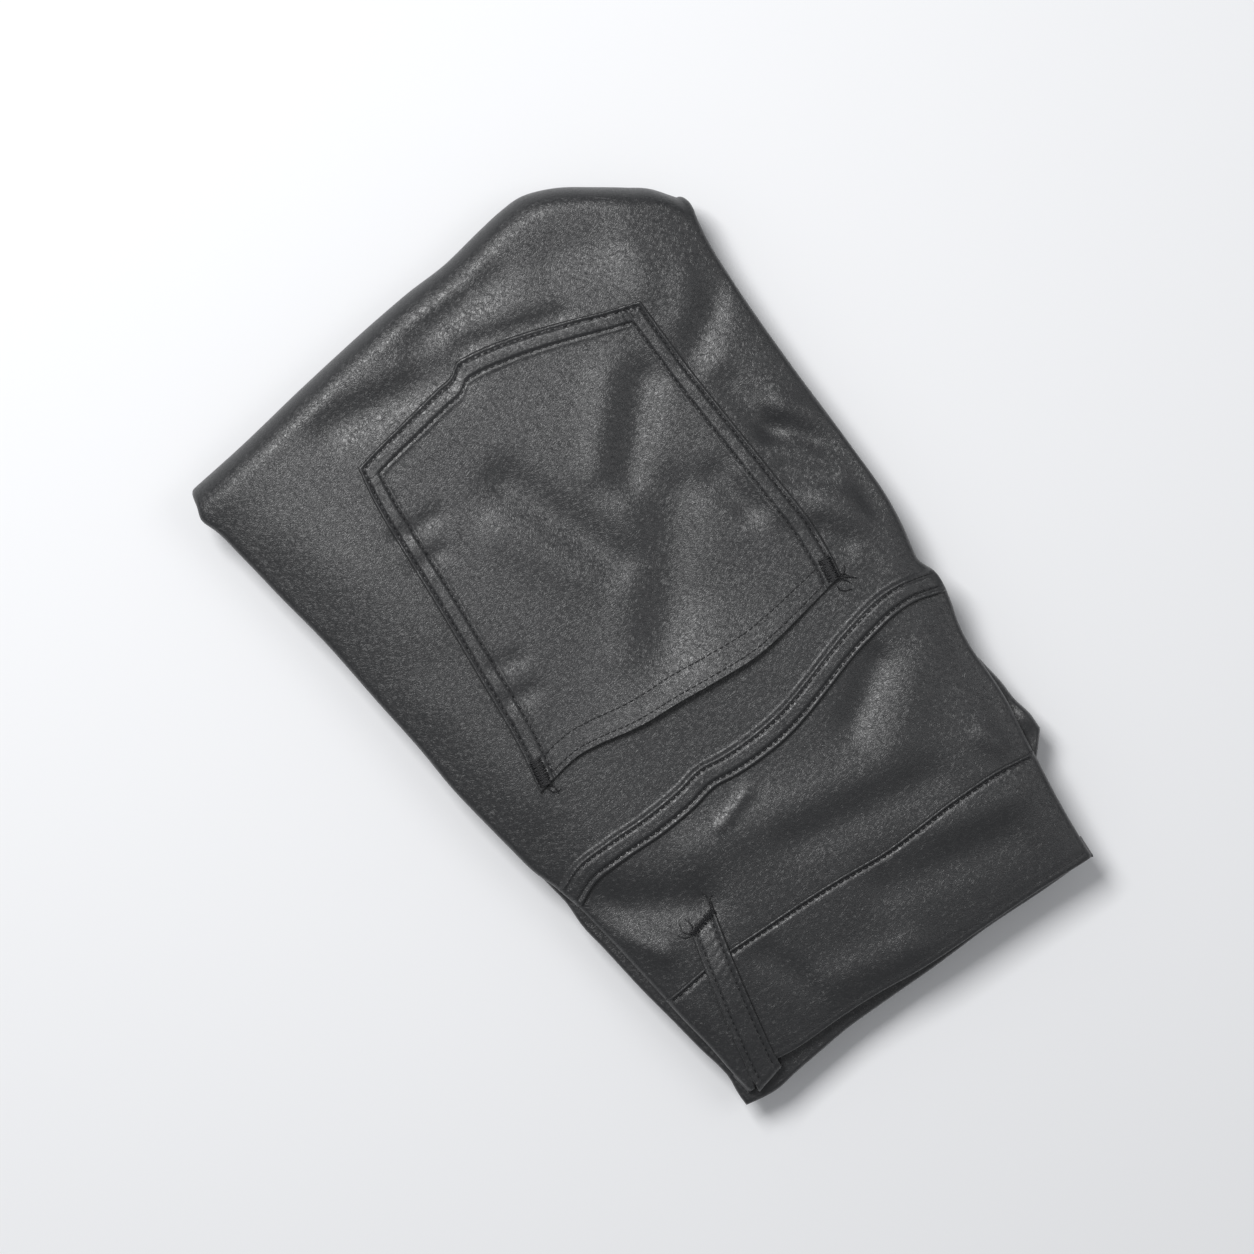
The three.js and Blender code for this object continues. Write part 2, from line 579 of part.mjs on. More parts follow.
/** The hidden layers with a seat cut for each edge of cloth that is hooked round them. */
function seatedLayers() {
  const seated = Object.values(HOOKS).reduce(
    (solid, edge) => solid.subtract(asSolid(hookSeat(edge))), asSolid(hiddenLayers()));
  return asGeometry(seated.decompose().sort((a, b) => b.volume() - a.volume())[0]);
}

const trousers = new THREE.Group();
trousers.add(
  piece("hidden_layers", seatedLayers(), INNER_FINISH),
  piece("back_panel", backPanel(), CLOTH_FINISH),
  piece("back_yoke", backYoke(), CLOTH_FINISH),
  piece("waistband", waistband(), CLOTH_FINISH),
  piece("waistband_facing", waistbandFacing(), INNER_FINISH),
  piece("back_pocket", backPocket(), CLOTH_FINISH),
  piece("belt_loop", beltLoop(), CLOTH_FINISH),
  ...Object.entries(HOOKS).map(([name, edge]) => piece(name, hookWall(edge), CLOTH_FINISH)),
);

// The middle of the footprint is the origin.
const middle = new THREE.Box3().setFromObject(trousers).getCenter(new THREE.Vector3());
trousers.position.set(-middle.x, -middle.y, 0);

export default trousers;
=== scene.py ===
"""Coated trousers, folded: the cloth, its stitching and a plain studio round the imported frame.

X runs across from the side seam to the centre back, Y from the waist down to the thigh fold, Z up.
Sizes are in millimetres on the pattern and become metres where a mesh is made.
"""

import logging
import math
from dataclasses import dataclass, field
from enum import Enum

import bpy
import numpy as np
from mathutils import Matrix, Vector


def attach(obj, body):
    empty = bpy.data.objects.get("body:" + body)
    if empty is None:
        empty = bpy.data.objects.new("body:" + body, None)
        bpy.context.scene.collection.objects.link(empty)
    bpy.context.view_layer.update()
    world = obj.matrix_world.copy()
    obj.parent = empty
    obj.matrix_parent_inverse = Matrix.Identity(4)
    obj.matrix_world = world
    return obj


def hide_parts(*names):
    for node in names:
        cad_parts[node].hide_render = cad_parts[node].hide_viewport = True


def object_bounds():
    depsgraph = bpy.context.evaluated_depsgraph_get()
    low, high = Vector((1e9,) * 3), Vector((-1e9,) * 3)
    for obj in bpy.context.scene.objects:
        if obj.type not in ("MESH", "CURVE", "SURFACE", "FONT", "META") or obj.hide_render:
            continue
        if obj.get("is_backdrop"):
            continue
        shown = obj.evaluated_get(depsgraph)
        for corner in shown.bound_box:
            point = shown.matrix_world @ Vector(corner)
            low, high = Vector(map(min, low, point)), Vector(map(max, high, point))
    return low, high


LOG = logging.getLogger("trousers")
MM = 0.001
TO_MIDDLE = np.array([1.3995, -1.7412, 0.0])  # from the pattern's zero to the footprint's middle
LEG_CLOTH, TRIM_CLOTH = 0.9, 0.8  # thickness, in millimetres
EDGE_TUCK = 0.5  # how far a folded edge turns down
FLAT_COLUMNS = 118  # even columns across, the two where the lips begin counted
THREAD_PART = np.linspace(0, 1, 5)  # the points of one stitch
TINY = 1e-9

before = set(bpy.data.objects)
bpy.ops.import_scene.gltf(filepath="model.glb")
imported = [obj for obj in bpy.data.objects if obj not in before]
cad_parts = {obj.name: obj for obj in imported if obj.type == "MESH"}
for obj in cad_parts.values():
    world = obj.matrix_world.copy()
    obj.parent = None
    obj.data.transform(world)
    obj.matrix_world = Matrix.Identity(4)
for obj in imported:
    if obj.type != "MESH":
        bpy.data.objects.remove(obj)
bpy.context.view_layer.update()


class Face(Enum):
    """The side of the cloth that shows; each value is the name of its material."""

    COATED = "coated_cloth"
    BACKING = "cloth_inside"


def curve(rows: np.ndarray, at: np.ndarray) -> np.ndarray:
    """Reads a smooth curve through a table of (place, value) rows.

    A cubic between neighbouring rows, with each row's slope taken from its neighbours.

    Args:
        rows: the table, sorted by place.
        at: the places to read.

    Returns:
        The values there.
    """
    places, values = np.asarray(rows, float).T
    slopes = np.gradient(values, places)
    at = np.clip(at, places[0], places[-1])
    low = np.clip(np.searchsorted(places, at) - 1, 0, len(places) - 2)
    span = places[low + 1] - places[low]
    t = (at - places[low]) / span
    h00 = 2 * t**3 - 3 * t**2 + 1
    h10 = t**3 - 2 * t**2 + t
    h01 = 3 * t**2 - 2 * t**3
    h11 = t**3 - t**2
    return (h00 * values[low] + h10 * span * slopes[low]
            + h01 * values[low + 1] + h11 * span * slopes[low + 1])


def bump_at(distance: np.ndarray, centre: float, width: float) -> np.ndarray:
    """A smooth bell of height 1 round a distance."""
    return np.exp(-(((distance - centre) / width) ** 2))


def step_up(value: np.ndarray, low: float, high: float) -> np.ndarray:
    """A smooth step from 0 at low to 1 at high."""
    t = np.clip((value - low) / (high - low), 0, 1)
    return t * t * (3 - 2 * t)


def uneven(along: np.ndarray, pitch: float, seed: float) -> np.ndarray:
    """Ripples along a seam: a sine whose phase and depth are swayed by two slower sines.

    Args:
        along: the place along the seam, in millimetres.
        pitch: about how far apart the ripples are.
        seed: shifts the sway.

    Returns:
        The ripple, from -1 to 1.
    """
    phase = along / pitch * math.tau + 1.7 * np.sin(along / (pitch * 3.7) + seed)
    depth = 0.55 + 0.45 * np.sin(along / (pitch * 5.3) + 2.1 * seed)
    return np.sin(phase) * depth


def quarter_round(off: np.ndarray) -> np.ndarray:
    """A quarter round at shares of the way to its edge: the root of 1 less the share squared."""
    return np.sqrt(np.clip(1 - np.clip(off, 0, 1) ** 2, 0, 1))


@dataclass(frozen=True)
class Crease:
    """A soft trough (deep above 0) or ridge (deep below 0) between two points."""

    x0: float
    y0: float
    x1: float
    y1: float
    wide: float
    deep: float

    def depth(self, x: np.ndarray, y: np.ndarray) -> np.ndarray:
        """How deep it is: a bell of the distance from the line, so that its ends are round.

        Args:
            x: the places' X.
            y: the places' Y.

        Returns:
            The depth there, in millimetres.
        """
        dx, dy = self.x1 - self.x0, self.y1 - self.y0
        share = np.clip(((x - self.x0) * dx + (y - self.y0) * dy) / (dx * dx + dy * dy), 0, 1)
        off = np.hypot(x - self.x0 - share * dx, y - self.y0 - share * dy)
        return self.deep * np.exp(-((off / self.wide) ** 2))


@dataclass(frozen=True)
class Pattern:
    """The outline, the seams and the form that the folded cloth takes."""

    height: float = 29.0
    crown: float = 4.0
    crown_reach: float = 34.0
    waist_drop: float = 4.5
    waist_reach: float = 75.0
    lip: float = 2.4
    fold_depth: float = 13.0
    knee_depth: float = 8.0
    knee_setback: float = 12.0
    knee_share: float = 0.58
    edge_calm: float = 12.0
    rim_calm: float = 10.0
    rim_start: float = 3.0
    crease_gain: float = 1.05
    drift: float = 0.22
    left: tuple = (
        (-176, -72.6), (-160, -74.6), (-145, -76.0), (-130, -78.2), (-119, -79.5), (-100, -81.8),
        (-80, -84.4), (-68, -86.2), (-57, -88.9), (-47, -92.3), (-34, -94.6), (-20, -96.8),
        (0, -99.6), (20, -100.9), (45, -103.6), (80, -107.2), (102, -110.7), (125, -114.0),
        (141, -116.8), (146, -118.6), (154, -117.4), (164, -117.4),
    )
    other: tuple = (
        (-176, -77.6), (-168, -77.8), (-160, -77.0), (-154, -77.8), (-146, -79.6), (-130, -82.2),
        (-110, -85.2), (-98, -86.5), (-86, -87.9), (-80, -88.9), (-76, -89.4), (-71, -89.4),
        (-64, -89.4), (-57, -90.6), (-47, -92.2), (-34, -94.4),
    )
    right: tuple = (
        (-176, 94.0), (-165, 94.6), (-147, 96.2), (-130, 98.6), (-118, 100.4), (-101, 103.0),
        (-88, 103.6), (-77, 103.6), (-63, 105.7), (-57, 107.6), (-51, 109.0), (-42, 109.5),
        (-34, 107.0), (-29, 107.9), (-20, 109.9), (-10, 111.3), (20, 111.8), (60, 111.2),
        (100, 111.8), (118, 113.0), (128, 114.6), (138, 117.0), (146, 116.9),
    )
    rim: tuple = (
        (0, -169.2), (0.03, -165.6), (0.08, -164.6), (0.14, -165.7), (0.28, -166), (0.38, -166.8),
        (0.5, -169.0), (0.72, -170.3), (0.86, -171.0), (1, -172.6),
    )
    other_rim: tuple = (
        (0, -173.4), (0.03, -174.6), (0.08, -175.6), (0.14, -174.2), (0.21, -173.0), (0.29, -171.9),
        (0.4, -172.0), (0.54, -172.0), (0.72, -171.9), (0.86, -172.5), (1, -172.8),
    )
    band: tuple = (
        (0, -119), (0.05, -118.2), (0.1, -117.2), (0.27, -117.5), (0.37, -118), (0.48, -119.2),
        (0.58, -121.0), (0.8, -120.3), (0.92, -121.2), (1, -123.6),
    )
    yoke: tuple = (
        (0, -68.5), (0.05, -64.8), (0.13, -63.8), (0.23, -64.2), (0.32, -63.1), (0.385, -61.1),
        (0.43, -62.3), (0.5, -62.8), (0.59, -61.2), (0.65, -58.4), (0.71, -54.9), (0.77, -51.5),
        (0.83, -49.0), (0.89, -47.2), (0.94, -47.6), (1, -51.0),
    )
    fold: tuple = (
        (0, 160.2), (0.09, 162.2), (0.27, 167.9), (0.45, 172.6), (0.51, 173.8), (0.59, 174.4),
        (0.68, 177.4), (0.73, 178.8), (0.775, 178.8), (0.81, 176.2), (0.84, 172.8), (0.89, 164.9),
        (0.935, 157.4), (0.975, 150.0), (1, 142),
    )
    creases: tuple = (
        Crease(-52, 147, -2, 137, 9, 1.5), Crease(-2, 155, 32, 156, 8, 1.4),
        Crease(-20, 162, 12, 164, 6, -0.6), Crease(-58, 156, -20, 150, 7, -0.8),
        Crease(9, 141, 46, 129, 4.5, 1.3), Crease(58, 89, 32, 62, 8, 2.0),
        Crease(48, 96, 24, 70, 8, -1.1), Crease(-10, 86, 8, 36, 9, 1.9),
        Crease(-22, 70, -6, 40, 10, -0.9), Crease(42, 44, 5, -2, 11, 1.7),
        Crease(22, 50, -10, 4, 10, -0.9), Crease(60, 40, 63, 22, 6, 1.4),
        Crease(70, 34, 72, 14, 5, -0.7), Crease(-58, 94, -40, 93, 3.5, 0.7),
        Crease(-59, 80, -47, 80, 3, 0.6), Crease(-57, 30, -46, 27, 3.5, 0.6),
        Crease(-60, 15, -50, 13, 3.5, 0.7), Crease(104, 100, 82, 86, 7, 2.0),
        Crease(96, 112, 88, 100, 7, -0.9), Crease(86, 67, 89, 43, 6, 1.6),
        Crease(89, 43, 106, 24, 6, 2.0), Crease(100, 48, 110, 38, 6, -1.2),
        Crease(85, 26, 96, 13, 6, 1.4), Crease(110, 17, 105, -6, 5, 2.0),
        Crease(92, 6, 100, -6, 7, -1.3), Crease(81, -1, 86, -12, 5, 1.2),
        Crease(108, -20, 98, -34, 7, -1.0), Crease(80, 118, 88, 140, 9, -0.9),
        Crease(60, 150, 90, 138, 10, 0.8), Crease(-92, 120, -70, 60, 14, -0.5),
        Crease(-88, 30, -76, -20, 12, -0.6), Crease(-78, -73, -46, -95, 9, 2.1),
        Crease(-80, -90, -70, -103, 5, -1.4), Crease(-4, -70, -20, -75, 2.6, -0.9),
        Crease(69, -58, 47, -72, 7, 1.9), Crease(86, -68, 60, -86, 9, -1.0),
        Crease(104, -62, 100, -99, 6, 1.6), Crease(87, -107, 90, -113, 5, -1.3),
        Crease(-33, -78, 53, -95, 10, -1.1), Crease(0, -98, 60, -108, 8, 1.0),
        Crease(-22, -152, 12, -159, 8, -1.2), Crease(20, -134, 70, -146, 9, 1.2),
        Crease(50, -128, 84, -134, 7, -0.8), Crease(-36, -128, -28, -150, 6, 0.9),
        Crease(-74, -125, -68, -150, 5, -0.7),
    )

    def across(self, share: np.ndarray, y: np.ndarray, off: np.ndarray | float) -> np.ndarray:
        """X at a share of the width, with both edges moved in by off."""
        low = curve(self.left, y) + off
        return low + share * (curve(self.right, y) - off - low)

    def top(self, x: np.ndarray, y: np.ndarray) -> np.ndarray:
        """Height of the cloth: a low crown, lower at the edges and the waist, with its creases.

        The drop at an edge is a parabola of the distance from it, and the two drops join as the
        sides of a right angle do. Creases fade out at the edges.

        Args:
            x: the places' X.
            y: the places' Y.

        Returns:
            The height there, in millimetres.
        """
        low, high = curve(self.left, y), curve(self.right, y)
        edge = np.maximum(np.minimum(x - low, high - x), 0)
        from_rim = np.maximum(y - curve(self.rim, (x - low) / (high - low)), 0)
        side = self.crown * (1 - np.clip(edge / self.crown_reach, 0, 1)) ** 2
        waist = self.waist_drop * (1 - np.clip(from_rim / self.waist_reach, 0, 1)) ** 2
        at_rim = np.clip((from_rim + self.rim_start) / self.rim_calm, 0, 1)
        calm = np.clip(edge / self.edge_calm, 0, 1) * at_rim
        folds = self.crease_gain * sum(crease.depth(x, y) for crease in self.creases)
        drift = self.drift * np.sin(x / 17.0 + 1.3 * np.sin(y / 29.0)) * np.sin(y / 21.0 + 0.8)
        return self.height - np.hypot(side, waist) - calm * (folds + drift)


PATTERN = Pattern()


@dataclass(frozen=True)
class Columns:
    """The places across the trousers: a round lip at each edge and flat cloth between."""

    share: np.ndarray
    off: np.ndarray
    drop: np.ndarray

    @classmethod
    def spaced(cls, count: int, lip: float, lip_count: int = 7, under: float = -30.0) -> "Columns":
        """Columns with a round lip, which turns a little under, at both edges.

        Args:
            count: even columns, the two where the lips begin counted.
            lip: radius of the lips.
            lip_count: columns in each lip.
            under: angle that the lip turns under to.

        Returns:
            The columns, from the side seam to the centre back.
        """
        turn = np.radians(np.linspace(under, 90, lip_count))
        off, drop = lip * (1 - np.cos(turn)), lip * (1 - np.sin(turn))
        flat = np.linspace(0, 1, count)[1:-1]
        return cls(
            share=np.concatenate([np.zeros(lip_count), flat, np.ones(lip_count)]),
            off=np.concatenate([off, np.full(count - 2, lip), off[::-1]]),
            drop=np.concatenate([drop, np.zeros(count - 2), drop[::-1]]),
        )


def place_object(name: str, data: bpy.types.ID) -> bpy.types.Object:
    """Puts a mesh, lamp or camera in the scene as an object of its own, at the origin."""
    placed = bpy.data.objects.new(name, data)
    bpy.context.scene.collection.objects.link(placed)
    return placed


def in_metres(points: np.ndarray) -> np.ndarray:
    """Turns points of the pattern into places in the frame, in metres."""
    return (points + TO_MIDDLE) * MM


def grid_mesh(name: str, points: np.ndarray) -> bpy.types.Object:
    """Makes a mesh object from a grid of points in millimetres of the pattern.

    Neighbouring points of two rows make a face, and the UV map runs along the cloth, in metres.

    Args:
        name: the piece's name.
        points: rows x columns x 3.

    Returns:
        The object, at the origin.
    """
    rows, cols = points.shape[:2]
    places = in_metres(points)
    index = np.arange(rows * cols).reshape(rows, cols)
    corners = [index[:-1, :-1], index[:-1, 1:], index[1:, 1:], index[1:, :-1]]
    quads = np.stack(corners, axis=-1).reshape(-1, 4)
    mesh = bpy.data.meshes.new(name)
    mesh.from_pydata(places.reshape(-1, 3).tolist(), [], quads.tolist())
    mesh.shade_smooth()
    over = np.linalg.norm(np.diff(places, axis=1), axis=-1).mean(axis=0)
    down = np.linalg.norm(np.diff(places, axis=0), axis=-1).mean(axis=1)
    u = np.concatenate([[0], np.cumsum(over)])
    v = np.concatenate([[0], np.cumsum(down)])
    coords = np.stack(np.broadcast_arrays(u[None, :], v[:, None]), axis=-1).reshape(-1, 2)
    layer = mesh.uv_layers.new(name="cloth")
    loops = np.empty(len(mesh.loops), int)
    mesh.loops.foreach_get("vertex_index", loops)
    layer.data.foreach_set("uv", coords[loops].astype(np.float32).ravel())
    return place_object(name, mesh)


class Shading:
    """A new material, and the steps that the finishes share."""

    def __init__(self, name: str) -> None:
        """Makes the material and finds its shader."""
        self.material = bpy.data.materials.new(name)
        self.material.use_nodes = True
        self.nodes = self.material.node_tree.nodes
        self.links = self.material.node_tree.links
        self.shader = self.nodes["Principled BSDF"]

    def constants(self, node: bpy.types.Node, values: dict) -> None:
        """Sets constants on a node's sockets."""
        for socket, value in values.items():
            node.inputs[socket].default_value = value

    def texture(self, kind: str, values: dict) -> bpy.types.Node:
        """Adds a procedural texture on Object coordinates.

        Args:
            kind: the node's type.
            values: its constants.

        Returns:
            The node.
        """
        node = self.nodes.new(kind)
        self.constants(node, values)
        place = self.nodes.new("ShaderNodeTexCoord")
        self.links.new(place.outputs["Object"], node.inputs["Vector"])
        return node

    def sum_node(self, operation: str, value: bpy.types.NodeSocket, by: float) -> bpy.types.NodeSocket:
        """Adds a sum of a value and a constant.

        Args:
            operation: the sum.
            value: the first number.
            by: the second number.

        Returns:
            The result's socket.
        """
        node = self.nodes.new("ShaderNodeMath")
        node.operation = operation
        node.inputs[1].default_value = by
        self.links.new(value, node.inputs[0])
        return node.outputs[0]

    def bump(self, height: bpy.types.NodeSocket, strength: float, distance: float) -> None:
        """Raises the surface by a pattern.

        Args:
            height: the pattern.
            strength: share of the full effect.
            distance: height of the pattern, in metres.
        """
        node = self.nodes.new("ShaderNodeBump")
        self.constants(node, {"Strength": strength, "Distance": distance})
        self.links.new(height, node.inputs["Height"])
        self.links.new(node.outputs["Normal"], self.shader.inputs["Normal"])

    def tones(self, share: bpy.types.NodeSocket, dark: tuple, light: tuple) -> None:
        """Colours the surface between two tones.

        Args:
            share: how much of the light tone there is.
            dark: one colour.
            light: the other colour.
        """
        node = self.nodes.new("ShaderNodeMix")
        node.data_type = "RGBA"
        self.constants(node, {"A": (*dark, 1), "B": (*light, 1)})
        self.links.new(share, node.inputs["Factor"])
        self.links.new(node.outputs["Result"], self.shader.inputs["Base Color"])


@dataclass(frozen=True)
class ClothFinish:
    """Coated cloth: a soft skin with a fine, worm-like grain and slight colour drift."""

    name: str = "coated_cloth"
    colour: tuple = (0.0095, 0.0098, 0.0108)
    worn: tuple = (0.0165, 0.017, 0.0185)
    roughness: float = 0.40
    smoother: float = 0.07
    rougher: float = 0.09
    grain_scale: float = 480.0
    grain_depth: float = 0.00007
    grain_strength: float = 0.7
    grain_fold: float = 0.09
    drift_scale: float = 38.0
    specular: float = 0.72

    def material(self) -> bpy.types.Material:
        """Builds the material: folded noise as bump and roughness, and broad noise as colour.

        Returns:
            The material.
        """
        look = Shading(self.name)
        look.constants(look.shader, {
            "Specular IOR Level": self.specular, "Sheen Weight": 0.06, "Sheen Roughness": 0.5,
        })
        grain = look.texture("ShaderNodeTexNoise", {
            "Scale": self.grain_scale, "Detail": 1.5, "Distortion": 1.4,
        })
        fold = look.sum_node("PINGPONG", grain.outputs["Fac"], self.grain_fold)
        rise = look.sum_node("MULTIPLY", fold, 1 / self.grain_fold)
        look.bump(rise, self.grain_strength, self.grain_depth)
        drift = look.texture("ShaderNodeTexNoise", {"Scale": self.drift_scale, "Detail": 5.0})
        look.tones(drift.outputs["Fac"], self.colour, self.worn)
        spread = look.nodes.new("ShaderNodeMapRange")
        look.constants(spread, {
            "To Min": self.roughness - self.smoother, "To Max": self.roughness + self.rougher,
        })
        look.links.new(rise, spread.inputs["Value"])
        look.links.new(spread.outputs["Result"], look.shader.inputs["Roughness"])
        return look.material


@dataclass(frozen=True)
class ThreadFinish:
    """Sewing thread: black, twisted, with a slight gloss."""

    name: str = "thread"
    colour: tuple = (0.006, 0.006, 0.007)
    lighter: float = 2.2
    roughness: float = 0.42
    twist_scale: float = 900.0
    twist_depth: float = 0.0001
    twist_strength: float = 0.4

    def material(self) -> bpy.types.Material:
        """Builds the material: fine bands of twist, in bump and in tone.

        Returns:
            The material.
        """
        look = Shading(self.name)
        look.constants(look.shader, {"Roughness": self.roughness})
        twist = look.texture("ShaderNodeTexWave", {"Scale": self.twist_scale, "Distortion": 1.0})
        look.bump(twist.outputs["Fac"], self.twist_strength, self.twist_depth)
        look.tones(twist.outputs["Fac"], self.colour, tuple(self.lighter * c for c in self.colour))
        return look.material


class Wardrobe:
    """The finishes, made once, and what every piece of cloth needs."""

    def __init__(self) -> None:
        """Makes the three finishes."""
        backing = ClothFinish(
            name=Face.BACKING.value, colour=(0.006, 0.006, 0.007), worn=(0.010, 0.010, 0.011),
            roughness=0.75, grain_scale=1500.0, grain_depth=0.00008, specular=0.25)
        self.faces = {Face.COATED: ClothFinish().material(), Face.BACKING: backing.material()}
        self.thread = ThreadFinish().material()

    def cloth(self, name: str, points: np.ndarray, nodes: tuple, rests_on: tuple,
              thickness: float = LEG_CLOTH, face: Face = Face.COATED) -> None:
        """Args:
            name: the piece's name.
            points: the outer face, rows x columns x 3.
            nodes: the frame's nodes that it stands for.
            rests_on: what it lies on; not used.
            thickness: of the cloth, in millimetres.
            face: the side that shows.
        """
        piece = grid_mesh(name, points)
        shell = piece.modifiers.new("cloth", "SOLIDIFY")
        shell.thickness = thickness * MM
        shell.offset = -1
        piece.data.materials.append(self.faces[face])
        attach(piece, "root")
        if nodes:
            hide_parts(*nodes)


@dataclass(frozen=True)
class LappedEdge:
    """The section of a turned, topstitched edge."""

    rows: tuple
    high: float
    turn: float = 0.9
    groove: float = 0.75
    groove_width: float = 0.7
    pucker: float = 0.36

    def lift(self, distance: np.ndarray, ripple: np.ndarray) -> np.ndarray:
        """Lift of the edge at a distance inside it.

        It rises in a quarter round, then lies thick, less a bell-shaped groove along each stitch
        row, plus puckers from the edge to just past the last row.

        Args:
            distance: from the folded edge, in millimetres.
            ripple: puckers, from -1 to 1.

        Returns:
            The lift, in millimetres.
        """
        first, last = self.rows[0], self.rows[-1]
        grooves = sum(self.groove * bump_at(distance, row, self.groove_width) for row in self.rows)
        after = step_up(distance, last - 1.2, last + 2.2)
        between = step_up(distance, 0.5, first + 0.6) * (1 - after)
        thick = self.high * quarter_round(1 - distance / self.turn)
        return thick - grooves * np.clip(distance, 0, 1) + self.pucker * ripple * between


@dataclass(frozen=True)
class BackPanel:
    """The back of the leg: a felled seam at the yoke, the top, the thigh fold, the underside."""

    seam: LappedEdge = LappedEdge(rows=(2.5, 8.7), high=1.9)
    near: tuple = (0.0, 0.0, 0.12, 0.3, 0.6, 0.9)
    top_count: int = 96
    under_count: int = 40
    thigh_count: int = 26
    knee_count: int = 16
    knee_end: float = 330.0
    under_inset: float = 2.5
    columns: Columns = field(default_factory=lambda: Columns.spaced(FLAT_COLUMNS, PATTERN.lip))

    def seam_lift_at(self, distance: np.ndarray, x: np.ndarray) -> np.ndarray:
        """Lift of the felled band: a lapped edge that steps down past its last row.

        Args:
            distance: from the folded edge, in millimetres.
            x: the places' X; the puckers grow towards the centre back.

        Returns:
            The lift, in millimetres.
        """
        ripple = uneven(x, 3.3, 0.4) * (0.45 + 0.75 * step_up(x, 0, 70))
        return self.seam.lift(distance, ripple) - self.seam.high * step_up(distance, 9.2, 12.2)

    def top_rows(self) -> np.ndarray:
        """The top: rows measured from the felled edge, dense at the seam, then even to the fold.

        Returns:
            The points.
        """
        col = self.columns
        near = np.concatenate([self.near, np.arange(1.3, 14, 0.5)])
        share = np.linspace(0, 1, self.top_count)[1:]
        seam = curve(PATTERN.yoke, col.share)
        fold = curve(PATTERN.fold, col.share) - PATTERN.fold_depth
        even = seam + near[-1] + share[:, None] * (fold - seam - near[-1])
        y = np.concatenate([seam + near[:, None], even])
        x = PATTERN.across(col.share, y, col.off)
        z = PATTERN.top(x, y) - col.drop + self.seam_lift_at(y - seam, x)
        z[0] -= EDGE_TUCK
        return np.stack([x, y, z], axis=-1)

    def fold_rows(self, angles: np.ndarray, middle: np.ndarray, depth: float, share: float,
                  inset: np.ndarray) -> np.ndarray:
        """A round fold: half an ellipse from the top's height to the table, lips turned in.

        Args:
            angles: from the top round, in degrees.
            middle: Y of the ellipse's middle for each column.
            depth: its half length along Y.
            share: of the stack's height that it takes.
            inset: how much narrower each row is.

        Returns:
            The points.
        """
        col, turn = self.columns, np.radians(angles)[:, None]
        y = middle + depth * np.sin(turn)
        x = PATTERN.across(col.share, y, col.off + inset[:, None])
        high = share * PATTERN.top(x, np.broadcast_to(middle, x.shape))
        reach = 1 - 2 * col.drop / high
        y = middle + depth * np.sin(turn) * reach
        return np.stack([x, y, high / 2 + high / 2 * np.cos(turn) * reach], axis=-1)

    def points(self) -> np.ndarray:
        """The whole outer face: the top, the thigh fold, the flat underside and the knee fold.

        Returns:
            The points, rows running from the felled edge round to the knee.
        """
        col = self.columns
        fold_middle = curve(PATTERN.fold, col.share) - PATTERN.fold_depth
        knee_middle = curve(PATTERN.rim, col.share) + PATTERN.knee_setback + PATTERN.knee_depth
        angles = np.linspace(0, 180, self.thigh_count)[1:]
        thigh = self.fold_rows(angles, fold_middle, PATTERN.fold_depth, 1.0,
                               self.under_inset * angles / 180)
        share = np.linspace(0, 1, self.under_count)[1:-1, None]
        y = fold_middle + share * (knee_middle - fold_middle)
        x = PATTERN.across(col.share, y, col.off + self.under_inset)
        table = np.stack([x, y, np.broadcast_to(col.drop, x.shape)], axis=-1)
        knee = self.fold_rows(np.linspace(180, self.knee_end, self.knee_count), knee_middle,
                              PATTERN.knee_depth, PATTERN.knee_share,
                              np.full(self.knee_count, self.under_inset))
        return np.concatenate([self.top_rows(), thigh, table, knee])

    def build(self, wardrobe: Wardrobe) -> None:
        """Makes the panel."""
        wardrobe.cloth("back_panel_cloth", self.points(), ("back_panel",), ("floor",))


@dataclass(frozen=True)
class Yoke:
    """The back yoke, from under the waistband to under the felled seam."""

    under_band: float = 8.0
    under_seam: float = 7.0
    rows: int = 52
    pull: float = 0.18

    def build(self, wardrobe: Wardrobe) -> None:
        """Makes the yoke: even rows between its two seams, pulled a little at the waistband.

        Args:
            wardrobe: the finishes.
        """
        col = Columns.spaced(FLAT_COLUMNS, PATTERN.lip)
        band = curve(PATTERN.band, col.share)
        low, high = band - self.under_band, curve(PATTERN.yoke, col.share) + self.under_seam
        y = low + np.linspace(0, 1, self.rows)[:, None] * (high - low)
        x = PATTERN.across(col.share, y, col.off)
        pull = self.pull * uneven(x, 6.1, 1.1) * bump_at(y - band, 1.5, 5)
        points = np.stack([x, y, PATTERN.top(x, y) - col.drop + pull], axis=-1)
        wardrobe.cloth("back_yoke_cloth", points, ("back_yoke",), ("hidden_layers",))


